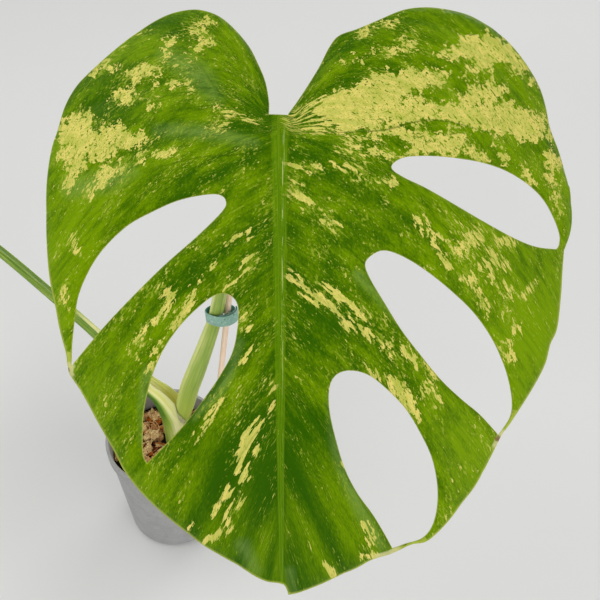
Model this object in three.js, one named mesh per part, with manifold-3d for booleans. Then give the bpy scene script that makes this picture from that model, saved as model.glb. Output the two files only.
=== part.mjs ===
// A potted variegated monstera: a grey pot of bark chips, a short stem, two leaf stalks,
// one large blade with five holes, one smaller blade, and a wooden stick with a soft tie.
// Millimetres, +Z up. The origin is the middle of the pot's flat base, and -Y is the front.

import * as THREE from 'three';
import { mergeVertices } from 'three/addons/utils/BufferGeometryUtils.js';
import Module from 'manifold-3d';

const wasm = await Module();
wasm.setup();

// Driving dimensions: pot and soil
const potRadius = 55;
const potHeight = 132;
const potBaseRadius = 47.7;
const potCorner = 8;
const potWall = 2;
const collarHeight = 11;
const collarStep = 2.3;
const soilDepthBelowRim = 15;
const drainHoles = 6;
const drainHoleRadius = 4;
const drainCircle = 27;
const chipCount = 60;

// Driving dimensions: plant
const stemCentre = [12.5, 8];
const stemRadius = 9;
const stemBottom = 62;
const sheathRadius = 14;
const bladeThickness = 0.9;
const mainBladeSpacing = 9.5;
const sideBladeSpacing = 10.5;

// Driving dimensions: stick and tie
const stickRadius = 2.5;
const stickBottom = 16;
const stickTop = 385;
const tieInnerRadius = 11.4;
const tieThickness = 1.2;
const tieLayerGap = 0.5;
const tieWidth = 9.5;

// Surfaces that meet keep this much air between them
const clearance = 0.3;

const soilTop = potHeight - soilDepthBelowRim;
const stemTop = soilTop + 4;

const vec = (x, y, z) => new THREE.Vector3(x, y, z);
const flat = (x, y) => new THREE.Vector2(x, y);

// The blade of the large leaf hangs from this point, where its stalk meets it
const mainBladeBase = vec(119.4, -78.4, 543.3);
const mainBladeTip = vec(0, -0.7224, -0.6915);
const mainBladeFace = vec(0, -0.6915, 0.7224);

const sideBladeBase = vec(-224.6, 62.2, 408);
const sideBladeTip = vec(-0.8, -0.1, -0.59).normalize();
const sideBladeFace = vec(-0.52, -0.34, 0.78);

// Centre lines of the two leaf stalks, from the stem up to the blades, and their radii at
// shares of that way. gutter is how far the side stalk's foot is hollowed into a sheath.
const mainStalkLine = [
  vec(12.8, 7.6, stemTop + 2 * clearance), vec(12.8, 7.6, 127), vec(15, 7.6, 141),
  vec(23.5, 7.6, 170), vec(31.2, 7.6, 198), vec(38.5, 7.6, 220), vec(49.4, 7, 254),
  vec(60.3, 3.7, 292), vec(67.5, -2.8, 328), vec(80, -13, 385), vec(95, -28, 440),
  vec(108, -43, 487),
];
const sideStalkLine = [
  vec(13.4, 8.2, soilTop - 6), vec(13.4, 9, 131), vec(12, 10, 154), vec(4, 12.5, 174),
  vec(-8.5, 15.5, 189), vec(-32.1, 20.2, 225.5), vec(-48.3, 24.8, 249.3),
  vec(-80.7, 34.8, 286.9), vec(-116.4, 44, 329.1), vec(-146.7, 51.3, 359.3),
  vec(-176, 56.8, 383.2), vec(-203.5, 60.5, 399.7),
];
const mainStalkRadii = [[0, 8], [0.11, 8.6], [0.2, 8.8], [0.3, 7.4], [0.4, 5.8], [0.5, 5.3],
  [0.67, 4.9], [0.85, 4.5], [1, 5.2]];
const sideStalkRadii = [[0, sheathRadius], [0.11, sheathRadius], [0.16, 11], [0.21, 8],
  [0.32, 5.6], [0.4, 4.7], [0.65, 4.2], [0.9, 3.6], [1, 3.8]];
const sideStalkGutter = [[0, 1], [0.14, 1], [0.22, 0.5], [0.32, 0], [1, 0]];
const sideStalkOpening = [[0, 0.42], [0.1, 0.45], [0.2, 0.5], [0.3, 0.5], [0.42, 0.42], [1, 0.42]];

// The stick leans to the right; these are two points on its centre line
const stickAtSoil = vec(46.2, 5, 117.3);
const stickAtTie = vec(70.3, 4.6, 292.9);
const tieCentre = vec(65.4, 3.4, 297);
const tieAxis = vec(0.05, 0.26, 0.96).normalize();

// The margin of a blade, as strokes that meet at its corners. A point is [across, along] from
// the place where the stalk joins; along grows towards the tip, across grows to the right.
const mainMargin = [
  [[-6, -1], [-6, -8], [-8, -19], [-12, -29], [-17, -39], [-25, -49], [-33, -56], [-41, -59.5],
    [-49, -60.5], [-60, -58.5], [-70, -54], [-81, -47], [-94, -37], [-107, -26], [-114, -19],
    [-120, -9], [-124, 3], [-128, 16], [-130.5, 34], [-131, 54], [-130, 76], [-128.5, 90],
    [-126, 103], [-123.5, 116], [-120, 129.5], [-119.5, 135], [-118.5, 141]],
  [[-118.5, 141], [-110, 154], [-102, 169], [-94, 184], [-89, 195], [-83, 204], [-73, 215],
    [-60, 227], [-46, 239], [-35, 246.5], [-24, 254], [-15, 260.5], [-8, 264], [0, 265.5],
    [2.5, 268], [4, 273]],
  [[4, 273], [11, 271], [22, 266], [33, 260], [43, 255], [52, 249.5], [62, 246.5]],
  [[62, 246.5], [69, 243.5], [76, 240.5], [83, 239.5], [89, 235], [97, 226], [104, 216],
    [111, 207], [117, 196], [124, 181]],
  [[124, 181], [126.5, 176], [130.5, 171], [136, 163], [145, 149.5], [152, 137], [155, 125],
    [159, 116], [161, 98], [162, 81], [163, 71]],
  [[163, 71], [167, 60], [168, 49], [166.5, 35], [163.5, 25], [160, 14], [154.5, 1],
    [152, -11], [148.5, -22], [142, -33], [134, -43], [125, -51], [113, -57.5], [104, -61],
    [91, -63], [79, -63], [67, -60.5], [53, -54], [42, -49], [32, -45], [26.5, -38], [21, -27],
    [12, -12], [4, -0.5]],
  [[4, -0.5], [-6, -1]],
];
const mainHoles = [
  [[-117, 136.5], [-116, 124], [-114, 110], [-111.5, 97], [-105, 83], [-96, 71], [-83, 59.5],
    [-70, 52.5], [-56, 46.5], [-43, 43.5], [-33, 43], [-29, 46.5], [-31, 52], [-44, 65],
    [-63, 81.5], [-82, 99.5], [-98, 115.5], [-117, 136.5]],
  [[-75, 191], [-77, 186], [-76.5, 172], [-75, 159], [-70, 141], [-63, 126], [-54, 113.5],
    [-44, 103.5], [-35, 97], [-28, 96.5], [-23, 102], [-23, 114], [-26, 128], [-33, 141],
    [-42, 154], [-52, 167], [-63, 179], [-75, 191]],
  [[157.5, 70.5], [144, 69.5], [130, 65], [112, 56.5], [95, 47.5], [79, 39], [66, 33], [60, 28],
    [66, 23], [78, 21.5], [94, 21.8], [110, 23.5], [125, 27.5], [138, 34], [148, 42],
    [155, 52], [159.5, 62], [159.5, 68], [157.5, 70.5]],
  [[124, 176.5], [112, 164], [101, 155], [89, 144], [77, 130], [66, 116], [57, 102], [48, 87],
    [46, 79.5], [51, 74.5], [57, 73], [66, 76], [78, 83], [92, 93.5], [106, 106], [117, 120],
    [124.5, 134], [129, 146], [131.5, 158], [130.5, 167], [124, 176.5]],
  [[64, 242.5], [59, 233], [52, 221], [43, 208], [36, 194], [31, 178], [27, 160], [27, 147],
    [31, 140], [39, 138], [49, 141], [60, 150], [70, 161], [79, 176], [85, 189], [88.5, 204],
    [89, 218], [86.5, 230], [81, 237], [72, 240], [64, 242.5]],
];

const sideMargin = [
  [[-5, -1], [-8, -16], [-22, -35], [-45, -43], [-66, -35], [-82, -14], [-89, 12], [-87, 40]],
  [[-87, 40], [-70, 36], [-48, 33], [-33, 33], [-28, 38], [-36, 44], [-54, 51], [-72, 61],
    [-82, 69]],
  [[-82, 69], [-72, 96], [-52, 128], [-28, 152], [-8, 166], [3, 178]],
  [[3, 178], [14, 165], [36, 149], [58, 124], [76, 92], [87, 56], [91, 22], [88, -8],
    [76, -30], [56, -43], [34, -42], [15, -26], [4, -1]],
  [[4, -1], [-5, -1]],
];
const sideHoles = [
  [[73, 60], [58, 54], [40, 44], [28, 35], [32, 29], [46, 33], [61, 43], [73, 60]],
  [[58, 101], [44, 93], [29, 78], [20, 66], [25, 61], [39, 69], [51, 83], [58, 101]],
  [[-52, 104], [-41, 98], [-28, 85], [-19, 72], [-23, 66], [-35, 73], [-46, 87], [-52, 104]],
];

// How each blade is bent: a valley along the midrib, sides that fall away, a drooping tip
const mainBend = { length: 273, fold: 0.16, sag: 0.0021, droop: 0.0009, crest: 55, quilt: 1.3 };
const sideBend = { length: 178, fold: 0.2, sag: 0.0035, droop: 0.0022, crest: 30, quilt: 1 };

// Where the main side veins lie, from -1 at the inner lobe to 1 at the tip
const mainVeins = {
  left: [-1.1, -0.75, -0.5, -0.25, 0.02, 0.17, 0.38, 0.55, 0.7, 0.85, 1],
  right: [-1.1, -0.8, -0.55, -0.3, 0.03, 0.28, 0.5, 0.66, 0.82, 1],
};
const sideVeins = {
  left: [-1.1, -0.7, -0.35, 0, 0.25, 0.45, 0.65, 0.85, 1],
  right: [-1.1, -0.7, -0.35, 0, 0.22, 0.45, 0.65, 0.85, 1],
};

// A repeatable stream of numbers from 0 to 1
function randomStream(seed) {
  let state = seed;
  return () => {
    state = (state * 1664525 + 1013904223) % 4294967296;
    return state / 4294967296;
  };
}

// Closed geometry into a solid that can be joined and cut, and back again
function toSolid(geometry) {
  const bare = geometry.clone();
  bare.deleteAttribute('normal');
  bare.deleteAttribute('uv');
  const merged = mergeVertices(bare, 1e-4);
  return new wasm.Manifold(new wasm.Mesh({
    numProp: 3,
    vertProperties: new Float32Array(merged.attributes.position.array),
    triVerts: new Uint32Array(merged.index.array),
  }));
}

function toGeometry(solid) {
  const mesh = solid.getMesh();
  const geometry = new THREE.BufferGeometry();
  geometry.setAttribute('position', new THREE.BufferAttribute(mesh.vertProperties, 3));
  geometry.setIndex(new THREE.BufferAttribute(mesh.triVerts, 1));
  geometry.computeVertexNormals();
  return geometry;
}

function fromPointsAndFaces(points, faces) {
  const geometry = new THREE.BufferGeometry();
  geometry.setAttribute('position',
    new THREE.Float32BufferAttribute(points.flatMap((p) => [p.x, p.y, p.z]), 3));
  geometry.setIndex(faces.flat());
  geometry.computeVertexNormals();
  return geometry;
}

// Rings of points joined into a closed skin. closeEnd(ring start, reversed) gives an end's faces.
function skinRings(rings, closeEnd) {
  const count = rings[0].length;
  const faces = [];
  for (let row = 0; row < rings.length - 1; row += 1) {
    for (let i = 0; i < count; i += 1) {
      const a = row * count + i;
      const b = row * count + (i + 1) % count;
      faces.push([a, b, b + count], [a, b + count, a + count]);
    }
  }
  faces.push(...closeEnd(0, true), ...closeEnd((rings.length - 1) * count, false));
  return fromPointsAndFaces(rings.flat(), faces);
}

// A fan over a convex ring
function fanEnd(count) {
  return (start, reversed) => {
    const faces = [];
    for (let i = 1; i < count - 1; i += 1) {
      const face = [start, start + i, start + i + 1];
      faces.push(reversed ? face.reverse() : face);
    }
    return faces;
  };
}

// A strip over a gutter-shaped ring, whose second half runs back along its first
function stripEnd(count) {
  return (start, reversed) => {
    const faces = [];
    for (let i = 0; i < count / 2 - 1; i += 1) {
      const back = count - 1 - i;
      const pair = [[start + i, start + i + 1, start + back - 1],
        [start + i, start + back - 1, start + back]];
      pair.forEach((face) => faces.push(reversed ? face.reverse() : face));
    }
    return faces;
  };
}

// Sections along a curve. section(t) gives [across, up] points; upHint says which way is up.
function sweep(curve, steps, upHint, section, closeEnd) {
  const rings = [];
  for (let row = 0; row <= steps; row += 1) {
    const t = row / steps;
    const centre = curve.getPointAt(t);
    const forward = curve.getTangentAt(t);
    const up = upHint.clone().addScaledVector(forward, -upHint.dot(forward)).normalize();
    const across = new THREE.Vector3().crossVectors(up, forward);
    rings.push(section(t).map(([x, y]) => centre.clone()
      .addScaledVector(across, x).addScaledVector(up, y)));
  }
  return skinRings(rings, closeEnd);
}

const smooth = (low, high, x) => THREE.MathUtils.smoothstep(x, low, high);

// Reads a value from a list of [share of the way, value]
function along(list, t) {
  const next = Math.max(1, list.findIndex(([share]) => share >= t));
  const [from, to] = [list[next - 1], list[next]];
  return THREE.MathUtils.lerp(from[1], to[1], (t - from[0]) / (to[0] - from[0]));
}

// Pot: a tapered cup with a rounded foot, a collar round the rim and drain holes in its floor
function potGeometry() {
  const bodyTop = potHeight - collarHeight;
  const bodyRadius = potRadius - collarStep;
  const inner = bodyRadius - potWall;
  const profile = [flat(0, 0), flat(potBaseRadius - potCorner, 0)];
  for (const angle of [25, 50, 75]) {
    const turn = THREE.MathUtils.degToRad(angle);
    profile.push(flat(potBaseRadius - potCorner * (1 - Math.sin(turn)),
      potCorner * (1 - Math.cos(turn))));
  }
  profile.push(
    flat(bodyRadius, bodyTop),
    flat(potRadius - 0.8, bodyTop + 0.6), flat(potRadius, bodyTop + 2.2),
    flat(potRadius, potHeight - 1), flat(potRadius - 1, potHeight),
    flat(potRadius - 2.2, potHeight), flat(potRadius - 3, potHeight - 1),
    flat(inner, bodyTop - 2), flat(potBaseRadius - potWall, potCorner),
    flat(potBaseRadius - potCorner, potWall), flat(0, potWall));
  const cup = new THREE.LatheGeometry(profile, 40).rotateX(Math.PI / 2);
  let pot = toSolid(cup);
  for (let i = 0; i < drainHoles; i += 1) {
    const turn = (i / drainHoles) * 2 * Math.PI;
    const drill = new THREE.CylinderGeometry(drainHoleRadius, drainHoleRadius, 12, 16)
      .rotateX(Math.PI / 2)
      .translate(drainCircle * Math.cos(turn), drainCircle * Math.sin(turn), 0);
    pot = pot.subtract(toSolid(drill));
  }
  return toGeometry(pot);
}

// Inner radius of the pot at a height, less the clearance
function soilRadius(z) {
  const share = (z - potCorner) / (potHeight - collarHeight - 2 - potCorner);
  return potBaseRadius + (potRadius - collarStep - potBaseRadius) * share - potWall - clearance;
}

// One bark chip: a block with its corners pushed about
function chipGeometry(random) {
  const chip = new THREE.BoxGeometry(7 + 8 * random(), 4.5 + 4 * random(), 3 + 2.5 * random());
  const place = chip.attributes.position;
  const shifts = new Map();
  for (let i = 0; i < place.count; i += 1) {
    const corner = [place.getX(i), place.getY(i), place.getZ(i)];
    const key = corner.map((value) => Math.sign(value)).join();
    if (!shifts.has(key)) {
      shifts.set(key, 0.62 + 0.38 * random());
    }
    place.setXYZ(i, ...corner.map((value) => value * shifts.get(key)));
  }
  return chip
    .rotateX((random() - 0.5) * 0.9)
    .rotateY((random() - 0.5) * 0.9)
    .rotateZ(random() * Math.PI);
}

// Bark substrate: it fills the pot, its top is covered with chips, and plant and stick stand in it
function substrateGeometry() {
  const random = randomStream(41);
  const plugTop = soilTop - 3;
  const profile = [
    flat(0, potWall + clearance), flat(potBaseRadius - potCorner - 1, potWall + clearance),
    flat(soilRadius(potCorner) - 0.5, potCorner + 1.5), flat(soilRadius(plugTop), plugTop),
    flat(0, plugTop)];
  const plug = new THREE.LatheGeometry(profile, 40).rotateX(Math.PI / 2);
  let substrate = toSolid(plug);
  for (let i = 0; i < chipCount; i += 1) {
    const reach = (soilRadius(soilTop) - 8.2) * Math.sqrt((i + 0.5) / chipCount);
    const turn = i * 2.39996 + 0.4 * random();
    const chip = chipGeometry(random)
      .translate(reach * Math.cos(turn), reach * Math.sin(turn), plugTop + 0.4 + 1.8 * random());
    substrate = substrate.add(toSolid(chip));
  }
  const well = new THREE.CylinderGeometry(sheathRadius + 2, sheathRadius + 2, 24, 28)
    .rotateX(Math.PI / 2)
    .translate(stemCentre[0], stemCentre[1], soilTop + 2);
  const shaft = new THREE.CylinderGeometry(
    stemRadius + 1.5, stemRadius + 1.5, stemTop - stemBottom + 2 * clearance, 20)
    .rotateX(Math.PI / 2)
    .translate(stemCentre[0], stemCentre[1], (stemTop + stemBottom) / 2);
  substrate = substrate.subtract(toSolid(well)).subtract(toSolid(shaft));
  substrate = substrate.subtract(toSolid(stickGeometry(clearance)));
  // A corner of a chip that the holes have cut off is left out
  const bodies = substrate.decompose().sort((a, b) => b.volume() - a.volume());
  return toGeometry(bodies[0]);
}

// Stem: a short knobbly stub, mostly under the chips, that both stalks grow from
function stemGeometry() {
  const profile = [flat(0, stemBottom)];
  const rings = 8;
  for (let i = 0; i <= rings; i += 1) {
    const t = i / rings;
    const ridge = 0.6 * Math.cos(t * 4 * Math.PI);
    const taper = 0.72 + 0.28 * smooth(0, 0.35, t);
    profile.push(flat(stemRadius * taper + ridge, stemBottom + t * (stemTop - stemBottom)));
  }
  profile.push(flat(0, stemTop));
  return new THREE.LatheGeometry(profile, 16).rotateX(Math.PI / 2)
    .translate(stemCentre[0], stemCentre[1], 0);
}

// Stick: a long round rod with a pointed foot, grown by extra where it is used as a cutter
function stickGeometry(extra = 0) {
  const lean = stickAtTie.clone().sub(stickAtSoil).normalize();
  const foot = stickAtSoil.clone().addScaledVector(lean, (stickBottom - stickAtSoil.z) / lean.z);
  const length = (stickTop - stickBottom) / lean.z;
  const radius = stickRadius + extra;
  const profile = [
    flat(0, -extra), flat(radius * 0.35, -extra), flat(radius, 14), flat(radius, length - 0.5),
    flat(radius - 0.4, length), flat(0, length)];
  const rod = new THREE.LatheGeometry(profile, 14).rotateX(Math.PI / 2);
  const turn = new THREE.Quaternion().setFromUnitVectors(vec(0, 0, 1), lean);
  return rod.applyQuaternion(turn).translate(foot.x, foot.y, foot.z);
}

// Tie: a soft strap wound once and a third round the stalk and the stick, its end laid outside
function tieGeometry() {
  const turns = 1.3;
  const steps = 40;
  const inside = [];
  const outside = [];
  for (let i = 0; i <= steps; i += 1) {
    const t = i / steps;
    const angle = 0.35 * Math.PI + t * turns * 2 * Math.PI;
    const grow = smooth(0.62, 0.85, t) * (tieThickness + tieLayerGap);
    const radius = tieInnerRadius + grow;
    inside.push(flat(radius * Math.cos(angle), radius * Math.sin(angle)));
    outside.unshift(flat((radius + tieThickness) * Math.cos(angle),
      (radius + tieThickness) * Math.sin(angle)));
  }
  const strap = new THREE.ExtrudeGeometry(new THREE.Shape([...inside, ...outside]),
    { depth: tieWidth, bevelEnabled: false }).translate(0, 0, -tieWidth / 2);
  const turn = new THREE.Quaternion().setFromUnitVectors(vec(0, 0, 1), tieAxis);
  return strap.applyQuaternion(turn).translate(tieCentre.x, tieCentre.y, tieCentre.z);
}

// Stalk of the large leaf: round, thick at its foot, bent at the top to meet the blade squarely
function mainStalkCurve() {
  const under = bladeThickness + midribDepth(mainBend, 4) + 1.2 * clearance;
  const end = mainBladeBase.clone().addScaledVector(mainBladeTip, 4)
    .addScaledVector(mainBladeFace, -under);
  const bendStart = end.clone().addScaledVector(mainBladeFace, -22);
  return new THREE.CatmullRomCurve3([...mainStalkLine, bendStart, end]);
}

function mainStalkGeometry(extra = 0) {
  const sides = 12;
  const ring = (t) => {
    const radius = along(mainStalkRadii, t) + extra;
    return Array.from({ length: sides }, (_, i) => {
      const angle = (i / sides) * 2 * Math.PI;
      return [radius * 0.93 * Math.cos(angle), radius * Math.sin(angle)];
    });
  };
  return sweep(mainStalkCurve(), 30, vec(1, 0, 0), ring, fanEnd(sides));
}

// Stalk of the small leaf: its foot is an open gutter, the sheath, that wraps the other stalk.
// The section has this many steps round its back, and as many along its front.
const sideStalkSides = 9;

function sideStalkSection(t) {
  const half = sideStalkSides;
  const radius = along(sideStalkRadii, t);
  const gutter = along(sideStalkGutter, t);
  const opening = along(sideStalkOpening, t) * Math.PI;
  const wall = THREE.MathUtils.lerp(0.5, 0.2, gutter) * radius;
  const outer = [];
  const inner = [];
  const angleAt = (i) => Math.PI / 2 + opening / 2 + (i / half) * (2 * Math.PI - opening);
  const lip = (angle) => flat(radius * Math.cos(angle), radius * Math.sin(angle));
  const firstLip = lip(angleAt(0));
  const lastLip = lip(angleAt(half));
  for (let i = 0; i <= half; i += 1) {
    const angle = angleAt(i);
    outer.push([radius * Math.cos(angle), radius * Math.sin(angle)]);
    const chord = firstLip.clone().lerp(lastLip, i / half);
    const thin = Math.max(0.35, Math.sin((i / half) * Math.PI) ** 0.5);
    const groove = flat((radius - wall * thin) * Math.cos(angle),
      (radius - wall * thin) * Math.sin(angle));
    const level = chord.clone().lerp(groove, gutter);
    inner.unshift([level.x, level.y - 0.4 * (1 - gutter)]);
  }
  return [...outer, ...inner];
}

function sideStalkGeometry() {
  const under = bladeThickness + midribDepth(sideBend, 3) + 1.2 * clearance;
  const end = sideBladeBase.clone().addScaledVector(sideBladeTip, 3)
    .addScaledVector(faceOf(sideBladeTip, sideBladeFace), -under);
  const bendStart = end.clone().addScaledVector(faceOf(sideBladeTip, sideBladeFace), -12)
    .addScaledVector(sideBladeTip, -3);
  const curve = new THREE.CatmullRomCurve3([...sideStalkLine, bendStart, end]);
  const stalk = sweep(curve, 38, vec(1, 0, 0), sideStalkSection, stripEnd(2 * sideStalkSides + 2));
  const cutters = [mainStalkGeometry(1.1), stemCutter()];
  return toGeometry(cutters.reduce((solid, cutter) => solid.subtract(toSolid(cutter)),
    toSolid(stalk)));
}

function stemCutter() {
  return new THREE.CylinderGeometry(stemRadius + 1.1, stemRadius + 1.1, 40, 24)
    .rotateX(Math.PI / 2)
    .translate(stemCentre[0], stemCentre[1], stemTop + clearance - 20);
}

// The direction a blade faces, square to the direction of its tip
function faceOf(tip, face) {
  return face.clone().addScaledVector(tip, -face.dot(tip)).normalize();
}

// A side vein's distance along the blade at a distance across it. place runs from -1, the vein
// that follows the inner lobe, through 0, the first one down the midrib, to 1, the tip.
function veinLine(bend, place, across) {
  if (place < 0) {
    const slope = 0.35 + 1.7 * place - 0.85 * place * place;
    return 9 * (1 + place) + slope * across + (0.0028 + 0.012 * place * place) * across * across;
  }
  const start = (bend.length - 9) * place;
  const slope = 0.35 + 1.1 * start / bend.length + 2.2 * (1.25 * start / bend.length) ** 4;
  return 9 + start + slope * across + 0.0028 * across * across;
}

// Which side vein runs through a point of the blade
function veinPlace(bend, across, down) {
  let low = -1.1;
  let high = 1.1;
  for (let i = 0; i < 24; i += 1) {
    const middle = (low + high) / 2;
    if (veinLine(bend, middle, Math.abs(across)) < down) {
      low = middle;
    } else {
      high = middle;
    }
  }
  return (low + high) / 2;
}

// Height of the blade over its own plane
function bladeHeight(bend, veins, across, down) {
  const soft = Math.sqrt(across * across + 49) - 7;
  const fall = bend.sag * across * across;
  const droop = bend.droop * ((down - bend.crest) ** 2 - bend.crest ** 2);
  const list = across < 0 ? veins.left : veins.right;
  const place = veinPlace(bend, across, down);
  const next = Math.max(1, list.findIndex((value) => value > place));
  const share = (place - list[next - 1]) / (list[next] - list[next - 1]);
  const hump = Math.sqrt(Math.abs(Math.sin(Math.PI * share))) - 0.6;
  return bend.fold * soft - fall - droop + bend.quilt * hump * smooth(6, 30, Math.abs(across));
}

// The midrib stands out below the blade, and thins towards the tip
function midribDepth(bend, down) {
  return 3.6 * (1 - smooth(0, 1, down / bend.length)) + 0.4;
}

function midribWidth(bend, down) {
  return 4.6 * (1 - 0.8 * Math.min(1, Math.max(0, down) / bend.length));
}

// Evenly spaced points on strokes of spline, without the last point of the last stroke
function tracePoints(strokes, spacing) {
  const points = [];
  for (const stroke of strokes) {
    const curve = new THREE.SplineCurve(stroke.map(([x, y]) => flat(x, y)));
    const steps = Math.max(1, Math.round(curve.getLength() / spacing));
    points.push(...curve.getSpacedPoints(steps).slice(0, -1));
  }
  return points;
}

function insideLoop(loop, x, y) {
  let inside = false;
  loop.forEach((a, i) => {
    const b = loop[(i + 1) % loop.length];
    if ((a.y > y) !== (b.y > y) && x < ((b.x - a.x) * (y - a.y)) / (b.y - a.y) + a.x) {
      inside = !inside;
    }
  });
  return inside;
}

function distanceToLoops(loops, x, y) {
  const place = vec(x, y, 0);
  const nearest = new THREE.Vector3();
  let least = Infinity;
  for (const loop of loops) {
    loop.forEach((a, i) => {
      const b = loop[(i + 1) % loop.length];
      new THREE.Line3(vec(a.x, a.y, 0), vec(b.x, b.y, 0)).closestPointToPoint(place, true, nearest);
      least = Math.min(least, nearest.distanceTo(place));
    });
  }
  return least;
}

// Points inside the blade: three rows along the midrib, and a triangular lattice elsewhere
function innerPoints(loops, bend, spacing) {
  const points = [];
  const keep = (x, y, margin) => {
    const inside = insideLoop(loops[0], x, y) && !loops.slice(1).some((h) => insideLoop(h, x, y));
    if (inside && distanceToLoops(loops, x, y) > margin) {
      points.push(flat(x, y));
    }
  };
  for (let y = 3; y < bend.length; y += spacing * 0.9) {
    const width = midribWidth(bend, y);
    keep(0.01, y, 1);
    keep(-width, y + 0.03, 1.5);
    keep(width, y - 0.03, 1.5);
  }
  const rowStep = spacing * Math.sqrt(0.75);
  for (let row = -12; row * rowStep < bend.length; row += 1) {
    for (let column = -24; column <= 24; column += 1) {
      const x = (column + (row % 2 ? 0.5 : 0)) * spacing + 0.37;
      const y = row * rowStep + 0.21;
      if (Math.abs(x) > midribWidth(bend, y) + spacing * 0.55) {
        keep(x, y, spacing * 0.55);
      }
    }
  }
  return points;
}

const cross = (a, b, c) => (b.x - a.x) * (c.y - a.y) - (b.y - a.y) * (c.x - a.x);

// True when d lies inside the circle through a, b and c
function inCircle(a, b, c, d) {
  const rows = [a, b, c].map((p) => [p.x - d.x, p.y - d.y,
    (p.x - d.x) ** 2 + (p.y - d.y) ** 2]);
  const [p, q, r] = rows;
  return p[0] * (q[1] * r[2] - q[2] * r[1]) - p[1] * (q[0] * r[2] - q[2] * r[0])
    + p[2] * (q[0] * r[1] - q[1] * r[0]) > 1e-7;
}

// Triangles over a flat outline with holes: each inner point splits the triangle it falls in,
// and edges that are not part of the outline are then flipped until no triangle is needlessly thin
function triangulate(loops, inner) {
  const points = loops.flat();
  const faces = THREE.ShapeUtils.triangulateShape(loops[0], loops.slice(1))
    .map((face) => (cross(...face.map((i) => points[i])) < 0 ? [...face].reverse() : face));
  const fixed = new Set();
  let start = 0;
  for (const loop of loops) {
    loop.forEach((_, i) => {
      const pair = [start + i, start + (i + 1) % loop.length];
      fixed.add(pair.sort((a, b) => a - b).join());
    });
    start += loop.length;
  }
  for (const point of inner) {
    const index = faces.findIndex(([a, b, c]) => cross(points[a], points[b], point) > 0
      && cross(points[b], points[c], point) > 0 && cross(points[c], points[a], point) > 0);
    if (index >= 0) {
      const [a, b, c] = faces[index];
      points.push(point);
      const p = points.length - 1;
      faces.splice(index, 1, [a, b, p], [b, c, p], [c, a, p]);
    }
  }
  let flipped = true;
  while (flipped) {
    flipped = false;
    const owner = new Map();
    faces.forEach((face, i) => face.forEach((a, k) => owner.set(`${a},${face[(k + 1) % 3]}`, i)));
    const touched = new Set();
    faces.forEach((face, i) => {
      for (let k = 0; k < 3 && !touched.has(i); k += 1) {
        const [a, b, c] = [faces[i][k], faces[i][(k + 1) % 3], faces[i][(k + 2) % 3]];
        const other = owner.get(`${b},${a}`);
        const edge = [a, b].sort((m, n) => m - n).join();
        if (other !== undefined && !touched.has(other) && !fixed.has(edge)) {
          const d = faces[other].find((v) => v !== a && v !== b);
          if (inCircle(points[a], points[b], points[c], points[d])) {
            faces[i] = [a, d, c];
            faces[other] = [d, b, c];
            touched.add(i).add(other);
            flipped = true;
          }
        }
      }
    });
  }
  return { points, faces };
}

// A blade: one triangulation gives its upper and lower face, and walls join their edges
function bladeGeometry(margin, holes, bend, veins, spacing) {
  const outline = tracePoints(margin, spacing * 0.62);
  const loops = [outline, ...holes.map((hole) => tracePoints([hole], spacing * 0.62))];
  const { points, faces } = triangulate(loops, innerPoints(loops, bend, spacing));
  const upper = points.map(({ x, y }) => vec(x, -y, bladeHeight(bend, veins, x, y)));
  const lower = points.map(({ x, y }, i) => {
    const inRib = Math.abs(x) < midribWidth(bend, y) * 0.6 && y > 0;
    const rib = inRib ? midribDepth(bend, y) : 0;
    return vec(x, -y, upper[i].z - bladeThickness - rib);
  });
  const count = points.length;
  const solid = [];
  const edges = new Set();
  // The along axis is turned over when a point becomes x, -y, so the faces are turned over too
  for (const [a, b, c] of faces) {
    solid.push([a, c, b], [a + count, b + count, c + count]);
    [[a, b], [b, c], [c, a]].forEach(([m, n]) => edges.add(`${m},${n}`));
  }
  for (const edge of edges) {
    const [a, b] = edge.split(',').map(Number);
    if (!edges.has(`${b},${a}`)) {
      solid.push([a, b, b + count], [a, b + count, a + count]);
    }
  }
  return fromPointsAndFaces([...upper, ...lower], solid);
}

// Turns a blade so that its tip and its face point the given ways, and moves it to its stalk
function placeBlade(mesh, base, tip, face) {
  const out = faceOf(tip, face);
  const back = tip.clone().negate();
  const right = new THREE.Vector3().crossVectors(back, out);
  mesh.setRotationFromMatrix(new THREE.Matrix4().makeBasis(right, back, out));
  mesh.position.copy(base);
  return mesh;
}

// Materials
const greyPlastic = new THREE.MeshStandardMaterial({ color: 0x95969b, roughness: 0.55 });
const bark = new THREE.MeshStandardMaterial({ color: 0x9a6a3c, roughness: 0.95 });
const stalkGreen = new THREE.MeshStandardMaterial({ color: 0x9db64e, roughness: 0.45 });
const stemGreen = new THREE.MeshStandardMaterial({ color: 0x6f8a35, roughness: 0.6 });
const leafGreen = new THREE.MeshStandardMaterial({ color: 0x4f8407, roughness: 0.4 });
const paleWood = new THREE.MeshStandardMaterial({ color: 0xe4c8af, roughness: 0.8 });
const tealStrap = new THREE.MeshStandardMaterial({ color: 0x7fb8a5, roughness: 0.9 });

function piece(name, geometry, material) {
  const mesh = new THREE.Mesh(geometry, material);
  mesh.name = name;
  return mesh;
}

const plant = new THREE.Group();
plant.add(
  piece('pot', potGeometry(), greyPlastic),
  piece('substrate', substrateGeometry(), bark),
  piece('stem', stemGeometry(), stemGreen),
  piece('stalk_main', mainStalkGeometry(), stalkGreen),
  piece('stalk_side', sideStalkGeometry(), stalkGreen),
  piece('stick', stickGeometry(), paleWood),
  piece('tie', tieGeometry(), tealStrap),
);

const mainBlade = piece('leaf_main',
  bladeGeometry(mainMargin, mainHoles, mainBend, mainVeins, mainBladeSpacing), leafGreen);
plant.add(placeBlade(mainBlade, mainBladeBase, mainBladeTip, mainBladeFace));

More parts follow.
